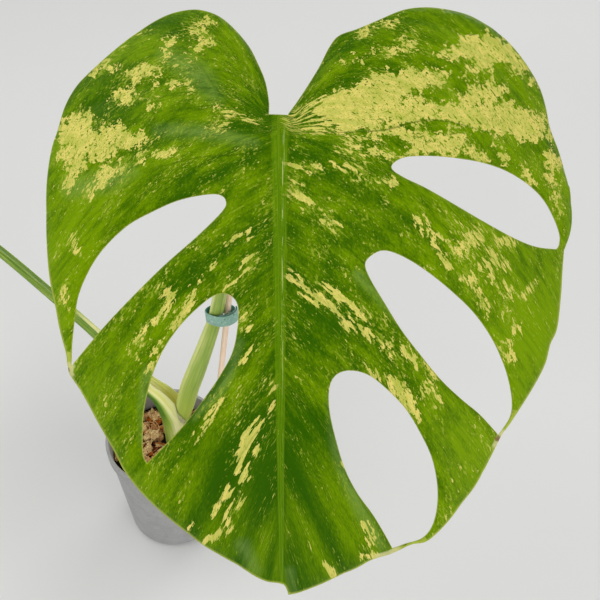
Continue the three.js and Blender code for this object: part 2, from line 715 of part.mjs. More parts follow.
const sideBlade = piece('leaf_side',
  bladeGeometry(sideMargin, sideHoles, sideBend, sideVeins, sideBladeSpacing), leafGreen);
plant.add(placeBlade(sideBlade, sideBladeBase, sideBladeTip, sideBladeFace));

export default plant;
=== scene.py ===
# %% [markdown]
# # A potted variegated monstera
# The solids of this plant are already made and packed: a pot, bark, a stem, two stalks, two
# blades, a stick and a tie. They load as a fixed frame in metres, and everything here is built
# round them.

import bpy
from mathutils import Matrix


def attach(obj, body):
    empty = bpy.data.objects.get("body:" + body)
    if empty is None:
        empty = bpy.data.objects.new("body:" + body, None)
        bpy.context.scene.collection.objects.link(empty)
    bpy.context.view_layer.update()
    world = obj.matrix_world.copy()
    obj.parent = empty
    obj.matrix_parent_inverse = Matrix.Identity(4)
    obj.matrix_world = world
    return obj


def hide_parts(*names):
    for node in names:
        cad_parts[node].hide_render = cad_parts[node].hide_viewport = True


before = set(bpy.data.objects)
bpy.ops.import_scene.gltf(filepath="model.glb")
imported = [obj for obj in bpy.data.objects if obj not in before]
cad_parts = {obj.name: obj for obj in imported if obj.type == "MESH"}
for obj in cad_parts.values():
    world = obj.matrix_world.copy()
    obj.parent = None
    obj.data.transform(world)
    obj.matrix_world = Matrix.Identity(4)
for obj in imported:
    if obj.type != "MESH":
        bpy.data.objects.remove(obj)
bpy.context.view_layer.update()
print("nodes:", sorted(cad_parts))

# %% Tools used throughout
import math
from types import SimpleNamespace

import bpy
import numpy as np
from mathutils import Vector
from mathutils.geometry import delaunay_2d_cdt

MM = 0.001
scene = bpy.context.scene
scene.view_settings.view_transform = "Standard"

# %% [markdown]
# ## Colours and nodes
# A colour is picked the way a screen shows it, as a hex code, and Blender works with linear
# light, so one function turns the first into the second. Materials are small graphs of nodes.
# One function adds a node, sets it and joins it up, and a few short names stand for the kinds
# that come up most. That is enough to read a graph from top to bottom as if it were a sum.

# %% Colours and nodes
def colour(code):
    """A hex colour as linear red, green, blue and alpha."""
    parts = [int(code[i:i + 2], 16) / 255 for i in (1, 3, 5)]
    linear = [c / 12.92 if c <= 0.04045 else ((c + 0.055) / 1.055) ** 2.4 for c in parts]
    return (*linear, 1.0)


# Kinds of node that come up often, with their settings
ADD = ("ShaderNodeMath", {"operation": "ADD"})
TIMES = ("ShaderNodeMath", {"operation": "MULTIPLY"})
ABSOLUTE = ("ShaderNodeMath", {"operation": "ABSOLUTE"})
SCALED = ("ShaderNodeVectorMath", {"operation": "MULTIPLY"})
# A range takes a value, its low and its high, and gives 0 to 1 or the two numbers that follow
RANGE = ("ShaderNodeMapRange", {"interpolation_type": "LINEAR"})
STEP = ("ShaderNodeMapRange", {"interpolation_type": "SMOOTHSTEP"})
# A mix takes a factor and what it gives at 0 and at 1
MIX = ("ShaderNodeMix", {"data_type": "FLOAT"})
BLEND = ("ShaderNodeMix", {"data_type": "RGBA"})


def node(tree, kind, *values, **settings):
    """Adds a node with its settings. The values go to its inputs in order, or by name from a
    dict. Each is a number, a hex colour or the output of another node."""
    kind, usual = kind if isinstance(kind, tuple) else (kind, {})
    made = tree.nodes.new(kind)
    for name, value in {**usual, **settings}.items():
        setattr(made, name, value)
    usable = [socket for socket in made.inputs if socket.enabled]
    pairs = zip(usable, values)
    if values and isinstance(values[0], dict):
        pairs = [(next(socket for socket in usable if socket.name == key), value)
                 for key, value in values[0].items()]
    for socket, value in pairs:
        if isinstance(value, bpy.types.NodeSocket):
            tree.links.new(value, socket)
        else:
            socket.default_value = colour(value) if str(value).startswith("#") else value
    return next((socket for socket in made.outputs if socket.enabled), made)


def new_material(name):
    """An empty material, as its node tree, its surface node and itself."""
    material = bpy.data.materials.new(name)
    material.use_nodes = True
    surface = material.node_tree.nodes["Principled BSDF"]
    return material.node_tree, surface, material


print("colour test, mid grey:", [round(c, 3) for c in colour("#808080")])

# %% [markdown]
# ## Lines and skins
# Stalks, rims and blade margins are drawn by a few points each. A smooth line runs through
# them, and it is then walked in even steps, so that a mesh built on it has even faces. The
# same rule made the solids, so a fine skin lies on the coarse one.

# %% Lines and skins
def smooth_line(points, power, per_span=30):
    """A dense line through the points. power 0 spaces it evenly, 0.25 suits uneven points."""
    points = np.array(points, float)
    first = points[0] if power == 0 else 2 * points[0] - points[1]
    last = points[-1] if power == 0 else 2 * points[-1] - points[-2]
    padded = np.vstack([first, points, last])
    t = np.linspace(0, 1, per_span, endpoint=False)[:, None]
    line = []
    for a, b, c, d in zip(padded, padded[1:], padded[2:], padded[3:]):
        before, here, after = (max(((q - p) ** 2).sum(), 1e-9) ** power
                               for p, q in ((a, b), (b, c), (c, d)))
        leave = ((b - a) / before - (c - a) / (before + here) + (c - b) / here) * here
        arrive = ((c - b) / here - (d - b) / (here + after) + (d - c) / after) * here
        cubic = 2 * b - 2 * c + leave + arrive
        square = -3 * b + 3 * c - 2 * leave - arrive
        line.append(cubic * t ** 3 + square * t ** 2 + leave * t + b)
    return np.vstack([*line, points[-1:]])


def line_length(line):
    return np.linalg.norm(np.diff(line, axis=0), axis=1).sum()


def even_steps(line, count):
    """count + 1 points at even distances along a line."""
    reach = np.concatenate([[0], np.cumsum(np.linalg.norm(np.diff(line, axis=0), axis=1))])
    wanted = np.linspace(0, reach[-1], count + 1)
    return np.stack([np.interp(wanted, reach, line[:, i]) for i in range(line.shape[1])], 1)


def along(pairs, t):
    """Reads values from a list of (share of the way, value)."""
    shares, values = zip(*pairs)
    return np.interp(t, shares, values)


def ease(low, high, x):
    """A soft step from 0 at low to 1 at high."""
    t = np.clip((np.asarray(x, float) - low) / (high - low), 0, 1)
    return t * t * (3 - 2 * t)


def unit(vector):
    return np.array(vector, float) / np.linalg.norm(vector)


def sweep(line, sections, up_hint=(1, 0, 0)):
    """Puts sections, each a list of (across, up), on the points of a line."""
    ahead = np.gradient(line, axis=0)
    ahead /= np.linalg.norm(ahead, axis=1)[:, None]
    up = np.array(up_hint, float) - ahead * (ahead @ np.array(up_hint, float))[:, None]
    up /= np.linalg.norm(up, axis=1)[:, None]
    across = np.cross(up, ahead)
    return (line[:, None] + sections[:, :, :1] * across[:, None]
            + sections[:, :, 1:] * up[:, None])


def skin(rings):
    """Faces that join rings of points into a tube, with both ends closed."""
    rows, count = rings.shape[:2]
    faces = [(r * count + i, r * count + (i + 1) % count, (r + 1) * count + (i + 1) % count,
              (r + 1) * count + i) for r in range(rows - 1) for i in range(count)]
    faces.append(tuple(reversed(range(count))))
    faces.append(tuple(range((rows - 1) * count, rows * count)))
    return rings.reshape(-1, 3), faces


def make_mesh(name, points, faces, materials, floats=None, vectors=None, slots=None):
    """A smooth mesh object from points in millimetres, with named values at its points."""
    mesh = bpy.data.meshes.new(name)
    mesh.from_pydata((np.asarray(points) * MM).tolist(), [], [list(f) for f in faces])
    for material in materials:
        mesh.materials.append(material)
    for key, values in (floats or {}).items():
        data = mesh.attributes.new(key, "FLOAT", "POINT").data
        data.foreach_set("value", np.asarray(values, np.float32))
    for key, values in (vectors or {}).items():
        data = mesh.attributes.new(key, "FLOAT_VECTOR", "POINT").data
        data.foreach_set("vector", np.asarray(values, np.float32).ravel())
    if slots is not None:
        mesh.polygons.foreach_set("material_index", np.asarray(slots, np.int32))
    mesh.polygons.foreach_set("use_smooth", [True] * len(mesh.polygons))
    mesh.update()
    made = bpy.data.objects.new(name, mesh)
    scene.collection.objects.link(made)
    print(f"{name}: {len(mesh.vertices)} points, {len(mesh.polygons)} faces")
    return made


def settle(piece):
    """Makes what a piece's modifiers do its own mesh, and takes the modifiers off."""
    graph = bpy.context.evaluated_depsgraph_get()
    settled = bpy.data.meshes.new_from_object(piece.evaluated_get(graph))
    piece.modifiers.clear()
    piece.data = settled
    print(f"{piece.name} after its modifiers: {len(settled.polygons)} faces")


def upright_to(axis):
    """The turn that takes an upright shape to this axis, as a matrix."""
    return np.array(Vector((0, 0, 1)).rotation_difference(Vector(axis)).to_matrix())


def stands_for(piece, cad_node):
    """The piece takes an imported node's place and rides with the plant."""
    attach(piece, "root")
    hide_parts(cad_node)

# %% [markdown]
# ## The camera and the studio
# The picture is taken from above and in front, looking down by 46 degrees, with the large
# blade nearly square to the camera. The place and the lens were found from the outline of the
# pot's rim, side and base. Studio light is soft: one wide lamp high on the left, a weaker one
# from the front right, and pale light from all round, over a plain pale floor. Small lamps in
# front and low down reach the stalks and the bark through the holes of the blade. The last
# lamp stands behind the plant and lights the far part of the floor.

# %% Camera
FOCAL_PIXELS = 850
FRAME_PIXELS = 600
CAMERA_PLACE = (0.1302, -0.4684, 0.8067)
CAMERA_DOWN = 46.25

camera_data = bpy.data.cameras.new("camera")
camera_data.sensor_width = 36
camera_data.lens = FOCAL_PIXELS / FRAME_PIXELS * camera_data.sensor_width
camera = bpy.data.objects.new("camera", camera_data)
camera.location = CAMERA_PLACE
camera.rotation_euler = (math.radians(90 - CAMERA_DOWN), 0, 0)
scene.collection.objects.link(camera)
scene.camera = camera
print("lens:", round(camera_data.lens, 1), "mm")

# %% Lamps
PLANT_MIDDLE = (0.05, -0.05, 0.35)
PLANT_FOOT = (0.02, 0, 0.2)
# Name, place, the point it faces, its width in metres and its power in watts
LAMPS = [
    ("key_lamp", (-0.9, 0.2, 2.1), PLANT_MIDDLE, 1.4, 17),
    ("fill_lamp", (1.6, -1.2, 1.5), PLANT_MIDDLE, 1.6, 8),
    ("front_lamp", (0.16, -0.9, 1.3), (0.1, 0, 0.35), 0.4, 1.1),
    ("low_left_lamp", (-1.2, -1.1, 0.6), PLANT_FOOT, 0.9, 5),
    ("low_right_lamp", (0.9, -1.2, 0.45), PLANT_FOOT, 0.7, 4),
    ("back_lamp", (1.3, 2.0, 1.7), (0.4, 1.0, 0), 1.4, 16),
]
ROOM_LIGHT = 0.575

for name, place, target, width, power in LAMPS:
    data = bpy.data.lights.new(name, "AREA")
    data.shape = "SQUARE"
    data.size = width
    data.energy = power
    lamp = bpy.data.objects.new(name, data)
    lamp.location = place
    lamp.rotation_euler = (Vector(target) - Vector(place)).to_track_quat("-Z", "Y").to_euler()
    scene.collection.objects.link(lamp)
world = bpy.data.worlds.new("studio")
world.use_nodes = True
world.node_tree.nodes["Background"].inputs["Color"].default_value = colour("#f4f4f3")
world.node_tree.nodes["Background"].inputs["Strength"].default_value = ROOM_LIGHT
scene.world = world
print(len(LAMPS), "lamps, and light from all round")

# %% Floor
FLOOR_HALF = 4.0

tree, surface, floor_paper = new_material("matte_backdrop_paper")
mottle = node(tree, "ShaderNodeTexNoise", {
    "Vector": node(tree, "ShaderNodeTexCoord").node.outputs["Object"], "Scale": 3.0})
tree.links.new(node(tree, BLEND, mottle, "#d6d6d5", "#dbdbda"), surface.inputs["Base Color"])
surface.inputs["Roughness"].default_value = 0.9
corners = [(x * FLOOR_HALF, y * FLOOR_HALF, 0)
           for x, y in ((-1, -1), (1, -1), (1, 1), (-1, 1))]
floor_mesh = bpy.data.meshes.new("floor")
floor_mesh.from_pydata(corners, [], [(0, 1, 2, 3)])
floor_mesh.materials.append(floor_paper)
floor = bpy.data.objects.new("floor", floor_mesh)
scene.collection.objects.link(floor)
print("floor:", 2 * FLOOR_HALF, "m square")

# %% [markdown]
# ## How a blade is drawn
# A monstera blade is a thin waxy sheet. Its midrib lies in a shallow valley, side veins leave
# it in curves, and the sheet swells a little between them. Each blade is first drawn flat, in
# millimetres across and along it: the margin in strokes that meet at its corners, and each
# hole in one stroke. The numbers are the ones the solids were made from.

# %% Blade outlines and bends
MAIN_MARGIN = [
    [(-6, -1), (-6, -8), (-8, -19), (-12, -29), (-17, -39), (-25, -49), (-33, -56), (-41, -59.5),
     (-49, -60.5), (-60, -58.5), (-70, -54), (-81, -47), (-94, -37), (-107, -26), (-114, -19),
     (-120, -9), (-124, 3), (-128, 16), (-130.5, 34), (-131, 54), (-130, 76), (-128.5, 90),
     (-126, 103), (-123.5, 116), (-120, 129.5), (-119.5, 135), (-118.5, 141)],
    [(-118.5, 141), (-110, 154), (-102, 169), (-94, 184), (-89, 195), (-83, 204), (-73, 215),
     (-60, 227), (-46, 239), (-35, 246.5), (-24, 254), (-15, 260.5), (-8, 264), (0, 265.5),
     (2.5, 268), (4, 273)],
    [(4, 273), (11, 271), (22, 266), (33, 260), (43, 255), (52, 249.5), (62, 246.5)],
    [(62, 246.5), (69, 243.5), (76, 240.5), (83, 239.5), (89, 235), (97, 226), (104, 216),
     (111, 207), (117, 196), (124, 181)],
    [(124, 181), (126.5, 176), (130.5, 171), (136, 163), (145, 149.5), (152, 137), (155, 125),
     (159, 116), (161, 98), (162, 81), (163, 71)],
    [(163, 71), (167, 60), (168, 49), (166.5, 35), (163.5, 25), (160, 14), (154.5, 1),
     (152, -11), (148.5, -22), (142, -33), (134, -43), (125, -51), (113, -57.5), (104, -61),
     (91, -63), (79, -63), (67, -60.5), (53, -54), (42, -49), (32, -45), (26.5, -38), (21, -27),
     (12, -12), (4, -0.5)],
    [(4, -0.5), (-6, -1)],
]
MAIN_HOLES = [
    [(-117, 136.5), (-116, 124), (-114, 110), (-111.5, 97), (-105, 83), (-96, 71), (-83, 59.5),
     (-70, 52.5), (-56, 46.5), (-43, 43.5), (-33, 43), (-29, 46.5), (-31, 52), (-44, 65),
     (-63, 81.5), (-82, 99.5), (-98, 115.5), (-117, 136.5)],
    [(-75, 191), (-77, 186), (-76.5, 172), (-75, 159), (-70, 141), (-63, 126), (-54, 113.5),
     (-44, 103.5), (-35, 97), (-28, 96.5), (-23, 102), (-23, 114), (-26, 128), (-33, 141),
     (-42, 154), (-52, 167), (-63, 179), (-75, 191)],
    [(157.5, 70.5), (144, 69.5), (130, 65), (112, 56.5), (95, 47.5), (79, 39), (66, 33), (60, 28),
     (66, 23), (78, 21.5), (94, 21.8), (110, 23.5), (125, 27.5), (138, 34), (148, 42),
     (155, 52), (159.5, 62), (159.5, 68), (157.5, 70.5)],
    [(124, 176.5), (112, 164), (101, 155), (89, 144), (77, 130), (66, 116), (57, 102), (48, 87),
     (46, 79.5), (51, 74.5), (57, 73), (66, 76), (78, 83), (92, 93.5), (106, 106), (117, 120),
     (124.5, 134), (129, 146), (131.5, 158), (130.5, 167), (124, 176.5)],
    [(64, 242.5), (59, 233), (52, 221), (43, 208), (36, 194), (31, 178), (27, 160), (27, 147),
     (31, 140), (39, 138), (49, 141), (60, 150), (70, 161), (79, 176), (85, 189), (88.5, 204),
     (89, 218), (86.5, 230), (81, 237), (72, 240), (64, 242.5)],
]
SIDE_MARGIN = [
    [(-5, -1), (-8, -16), (-22, -35), (-45, -43), (-66, -35), (-82, -14), (-89, 12), (-87, 40)],
    [(-87, 40), (-70, 36), (-48, 33), (-33, 33), (-28, 38), (-36, 44), (-54, 51), (-72, 61),
     (-82, 69)],
    [(-82, 69), (-72, 96), (-52, 128), (-28, 152), (-8, 166), (3, 178)],
    [(3, 178), (14, 165), (36, 149), (58, 124), (76, 92), (87, 56), (91, 22), (88, -8),
     (76, -30), (56, -43), (34, -42), (15, -26), (4, -1)],
    [(4, -1), (-5, -1)],
]
SIDE_HOLES = [
    [(73, 60), (58, 54), (40, 44), (28, 35), (32, 29), (46, 33), (61, 43), (73, 60)],
    [(58, 101), (44, 93), (29, 78), (20, 66), (25, 61), (39, 69), (51, 83), (58, 101)],
    [(-52, 104), (-41, 98), (-28, 85), (-19, 72), (-23, 66), (-35, 73), (-46, 87), (-52, 104)],
]
MAIN_BEND = {"length": 273, "fold": 0.16, "sag": 0.0021, "droop": 0.0009, "crest": 55,
             "quilt": 1.3}
SIDE_BEND = {"length": 178, "fold": 0.2, "sag": 0.0035, "droop": 0.0022, "crest": 30,
             "quilt": 1.0}
MAIN_VEINS = {
    "left": [-1.1, -0.75, -0.5, -0.25, 0.02, 0.17, 0.38, 0.55, 0.7, 0.85, 1],
    "right": [-1.1, -0.8, -0.55, -0.3, 0.03, 0.28, 0.5, 0.66, 0.82, 1],
}
SIDE_VEINS = {
    "left": [-1.1, -0.7, -0.35, 0, 0.25, 0.45, 0.65, 0.85, 1],
    "right": [-1.1, -0.7, -0.35, 0, 0.22, 0.45, 0.65, 0.85, 1],
}
# Where each stalk meets its blade, the way to the blade's tip and the way the blade faces
MAIN_BASE = (119.4, -78.4, 543.3)
MAIN_TIP = (0, -0.7224, -0.6915)
MAIN_FACE = (0, -0.6915, 0.7224)
SIDE_BASE = (-224.6, 62.2, 408)
SIDE_TIP = unit((-0.8, -0.1, -0.59))
SIDE_FACE = (-0.52, -0.34, 0.78)
print("outlines:", len(MAIN_HOLES), "holes in the large blade,", len(SIDE_HOLES), "in the small")

# %% [markdown]
# ## Veins, and how the sheet bends
# Every point of a blade lies on some side vein. A number called place says which one: -1 is
# the vein along the inner lobe, 0 leaves where the stalk joins, and 1 leaves at the tip. With
# it, grooves, streaks of colour and flecks can all follow the veins, as they do on the plant,
# because variegation is made of stripes of cells that grew outwards between the veins.

# %% Vein field and height
VEIN_START = 9
VEIN_CURL = 0.0028
LAST_PLACE = 1.1
HALVINGS = 24
VALLEY_ROUNDING = 7


def vein_line(bend, place, across):
    """How far along the blade a side vein is at a distance across it."""
    start = (bend["length"] - VEIN_START) * place
    share = start / bend["length"]
    slope = 0.35 + 1.1 * share + 2.2 * (1.25 * share) ** 4
    outer = VEIN_START + start + slope * across + VEIN_CURL * across ** 2
    lobe_slope = 0.35 + 1.7 * place - 0.85 * place ** 2
    lobe_curl = VEIN_CURL + 0.012 * place ** 2
    lobe = VEIN_START * (1 + place) + lobe_slope * across + lobe_curl * across ** 2
    return np.where(place < 0, lobe, outer)


def vein_place(bend, across, down):
    """Which side vein runs through each point, found by halving."""
    low = np.full(np.shape(across), -LAST_PLACE)
    high = np.full(np.shape(across), LAST_PLACE)
    for _ in range(HALVINGS):
        middle = (low + high) / 2
        above = vein_line(bend, middle, np.abs(across)) < down
        low = np.where(above, middle, low)
        high = np.where(above, high, middle)
    return (low + high) / 2


def vein_share(veins, across, place):
    """Where a point lies between two main veins, from 0 on one to 1 on the next."""
    shares = []
    for side in ("left", "right"):
        edges = np.array(veins[side])
        after = np.clip(np.searchsorted(edges, place, side="right"), 1, len(edges) - 1)
        shares.append((place - edges[after - 1]) / (edges[after] - edges[after - 1]))
    return np.where(across < 0, *shares)


def rib_width(bend, down):
    """Half the width of the midrib, which narrows from 4.6 mm to less than 1 mm."""
    return 4.6 * (1 - 0.8 * np.clip(down / bend["length"], 0, 1))


def rib_depth(bend, down):
    """How far the midrib stands out under the sheet, from 4 mm to 0.4 mm."""
    return 3.6 * (1 - ease(0, 1, down / bend["length"])) + 0.4


def blade_height(bend, veins, across, down):
    """Height of the sheet over its own plane, as in the solids, with swelling between veins."""
    soft = np.sqrt(across ** 2 + VALLEY_ROUNDING ** 2) - VALLEY_ROUNDING
    droop = bend["droop"] * ((down - bend["crest"]) ** 2 - bend["crest"] ** 2)
    share = vein_share(veins, across, vein_place(bend, across, down))
    hump = np.sqrt(np.abs(np.sin(np.pi * share))) - 0.6
    return (bend["fold"] * soft - bend["sag"] * across ** 2 - droop
            + bend["quilt"] * hump * ease(6, 30, np.abs(across)))


print("veins at 60 mm across:", vein_line(MAIN_BEND, np.array([-0.5, 0, 0.5, 1]), 60).round(0))

# %% [markdown]
# ## A flat net of points
# The net must follow the margin and the veins exactly and stay even elsewhere. So points are
# laid in order of need: the margin, rows along the midrib, rows along each main side vein, and
# a triangular lattice in what is left. A point too near an earlier one is dropped, and a
# constrained Delaunay triangulation joins them all.

# %% Tracing and measuring on the flat
RIM_STEP = 1.5
BATCH = 1500
def traced(strokes, spacing):
    """Even points on strokes, without the last point of each."""
    loop = []
    for stroke in strokes:
        line = smooth_line(stroke, 0)
        loop.append(even_steps(line, max(1, round(line_length(line) / spacing)))[:-1])
    return np.vstack(loop)


def inside(loops, points):
    """True where a point is in the margin and in no hole, by counting crossings."""
    x, y = points[:, :1], points[:, 1:2]
    crossings = np.zeros(len(points), int)
    for loop in loops:
        a, b = loop, np.roll(loop, -1, axis=0)
        spans = (a[:, 1] > y) != (b[:, 1] > y)
        with np.errstate(divide="ignore", invalid="ignore"):
            at = (b[:, 0] - a[:, 0]) * (y - a[:, 1]) / (b[:, 1] - a[:, 1]) + a[:, 0]
        crossings += (spans & (x < at)).sum(1)
    return crossings % 2 == 1


def distance_to(segments, points):
    """Distance from each point to the nearest of many segments, worked in batches."""
    a, b = segments
    ahead = b - a
    size = np.maximum((ahead ** 2).sum(1), 1e-9)
    nearest = []
    for batch in np.array_split(points, max(1, len(points) // BATCH)):
        t = np.clip(((batch[:, None] - a) * ahead).sum(2) / size, 0, 1)
        gap = batch[:, None] - a - t[:, :, None] * ahead
        nearest.append(np.sqrt((gap ** 2).sum(2)).min(1))
    return np.concatenate(nearest)


print("margin of the large blade:", len(traced(MAIN_MARGIN, RIM_STEP)), "points")

# %% The net of a blade
ROW_STEP = 1.8
LATTICE_STEP = 2.4
CELL = 2
NET_START = -70
NET_HALF_WIDTH = 180
RIB_ROWS = (0, -0.35, 0.35, -0.7, 0.7, -1, 1, -1.3, 1.3)
CREASE_ROWS = (0, -0.9, 0.9)


def rib_rows(bend):
    """Rows of points along the midrib, at shares of its half width."""
    downs = np.arange(0.6, bend["length"] - 2, ROW_STEP)
    return [np.stack([share * rib_width(bend, downs), downs], 1) for share in RIB_ROWS]


def crease_rows(crease):
    """Three rows of points along a crease, on it and on both sides of it."""
    line = smooth_line([point[:2] for point in crease], 0)
    line = even_steps(line, int(line_length(line) / ROW_STEP))
    slant = np.gradient(line, axis=0)
    slant = np.stack([-slant[:, 1], slant[:, 0]], 1) / np.linalg.norm(slant, axis=1)[:, None]
    return [line + offset * slant for offset in CREASE_ROWS]


def lattice(bend):
    """A triangular lattice over the whole blade."""
    rows = np.arange(NET_START, bend["length"], LATTICE_STEP * math.sqrt(0.75))
    columns = np.arange(-NET_HALF_WIDTH, NET_HALF_WIDTH, LATTICE_STEP)
    return np.array([(x + (i % 2) * LATTICE_STEP / 2, y) for i, y in enumerate(rows)
                     for x in columns])


def blade_net(margin, holes, bend, creases):
    """Points, triangles and loops of a flat blade."""
    loops = [traced(margin, RIM_STEP)] + [traced([hole], RIM_STEP) for hole in holes]
    kept, cells = [], {}

    def keep(points, room):
        """Keeps the points that have this much room to every point kept so far."""
        for x, y in points:
            cell = (int(x // CELL), int(y // CELL))
            around = [q for i in (-1, 0, 1) for j in (-1, 0, 1)
                      for q in cells.get((cell[0] + i, cell[1] + j), ())]
            if all((x - u) ** 2 + (y - v) ** 2 > room ** 2 for u, v in around):
                kept.append((x, y))
                cells.setdefault(cell, []).append((x, y))

    for loop in loops:
        keep(loop, 0)
    for row in rib_rows(bend):
        keep(row[inside(loops, row)], 0.55)
    for crease in creases:
        for row in crease_rows(crease):
            keep(row[inside(loops, row)], 0.7)
    rest = lattice(bend)
    keep(rest[inside(loops, rest)], LATTICE_STEP * 0.62)

    edges, start = [], 0
    for loop in loops:
        edges += [(start + i, start + (i + 1) % len(loop)) for i in range(len(loop))]
        start += len(loop)
    found, _, faces, *_ = delaunay_2d_cdt([Vector(p) for p in kept], edges, [], 0, 1e-6)
    points = np.array([tuple(p) for p in found])
    faces = np.array(faces)
    return points, faces[inside(loops, points[faces].mean(1))], loops


print("lattice over the large blade:", len(lattice(MAIN_BEND)), "points before trimming")

# %% [markdown]
# ## Cream patches and streaks
# The pale parts are cells without leaf green. They lie in patches and streaks between the
# veins, wide on the right inner lobe and broken into small ones elsewhere. The larger ones are
# placed in the blade's own millimetres: a patch is an outline, and a streak is a short
# line of points, each with the streak's width there. What is kept on the mesh is only how deep
# a point lies in one. The ragged edge and the countless small flecks come from noise in the
# material.

# %% Where the large patches and streaks lie
MAIN_PATCHES = [
    # right inner lobe: two bands that join near the stalk
    [(17, -4), (28, -12), (42, -18), (59, -24), (75, -26), (89, -25), (95, -23), (83, -17),
     (68, -11), (77, -8), (90, -7), (103, -9), (128, -11), (136, -9), (145, -5), (151, -9),
     (152, -1), (148, 6), (140, 10), (131, 10), (127, 7), (120, 8), (111, 6), (102, 4), (86, 2),
     (75, 3), (63, 5), (54, 7), (39, 9), (25, 8), (31, 5), (18, 3), (22, 0)],
    # under the main vein of that lobe, down to the hole
    [(57, 7), (68, 5), (74, 11), (84, 12), (91, 7), (102, 11), (100, 17), (97, 21), (75, 21),
     (61, 25), (72, 20), (66, 15), (65, 11)],
    # outer part of that lobe
    [(96, -9), (102, -14), (106, -19), (116, -21), (126, -21), (126, -15), (120, -11),
     (115, -9), (103, -8)],
    [(85, -37), (90, -40), (97, -41), (103, -47), (108, -51), (114, -50), (122, -49), (129, -46),
     (136, -41), (142, -34), (142, -31), (136, -31), (126, -33), (120, -34), (116, -29),
     (107, -25), (101, -25), (105, -30), (109, -34), (103, -35), (92, -34), (86, -34)],
    [(139, -29), (143, -28), (147, -23), (144, -23), (140, -25)],
    [(149, 18), (154, 13), (159, 16), (161, 21), (158, 26), (153, 25), (150, 22)],
    [(149, 30), (153, 28), (159, 33), (157, 35), (151, 33)],
    [(133, 27), (139, 26), (141, 30), (145, 35), (141, 35)],
    [(55, -34), (60, -38), (64, -41), (73, -41), (73, -38), (69, -35), (64, -37), (59, -33)],
    # outer left
    [(-123, 1), (-114, -3), (-107, -3), (-102, 1), (-104, 6), (-98, 5), (-87, 5), (-78, 9),
     (-72, 10), (-72, 12), (-77, 16), (-85, 17), (-91, 21), (-94, 25), (-106, 23), (-108, 27),
     (-110, 30), (-113, 35), (-116, 41), (-120, 39), (-119, 32), (-116, 25), (-122, 22)],
    [(-100, 31), (-95, 28), (-86, 26), (-85, 28), (-92, 33), (-96, 39), (-100, 39), (-101, 34)],
    [(-106, 41), (-103, 39), (-103, 42), (-105, 44)],
    # upper left lobe
    [(-85, -23), (-77, -26), (-77, -30), (-73, -30), (-69, -28), (-66, -25), (-69, -22),
     (-75, -20), (-81, -20)],
    [(-63, -43), (-60, -45), (-57, -42), (-57, -40), (-60, -39)],
    [(-50, -48), (-43, -49), (-39, -46), (-37, -43), (-39, -40), (-42, -41), (-45, -46)],
    [(-48, -38), (-45, -39), (-43, -35), (-45, -33)],
    [(-93, -12), (-87, -16), (-82, -15), (-78, -11), (-85, -7), (-91, -10)],
    [(-107, -26), (-102, -31), (-97, -33), (-99, -29), (-103, -26)],
]
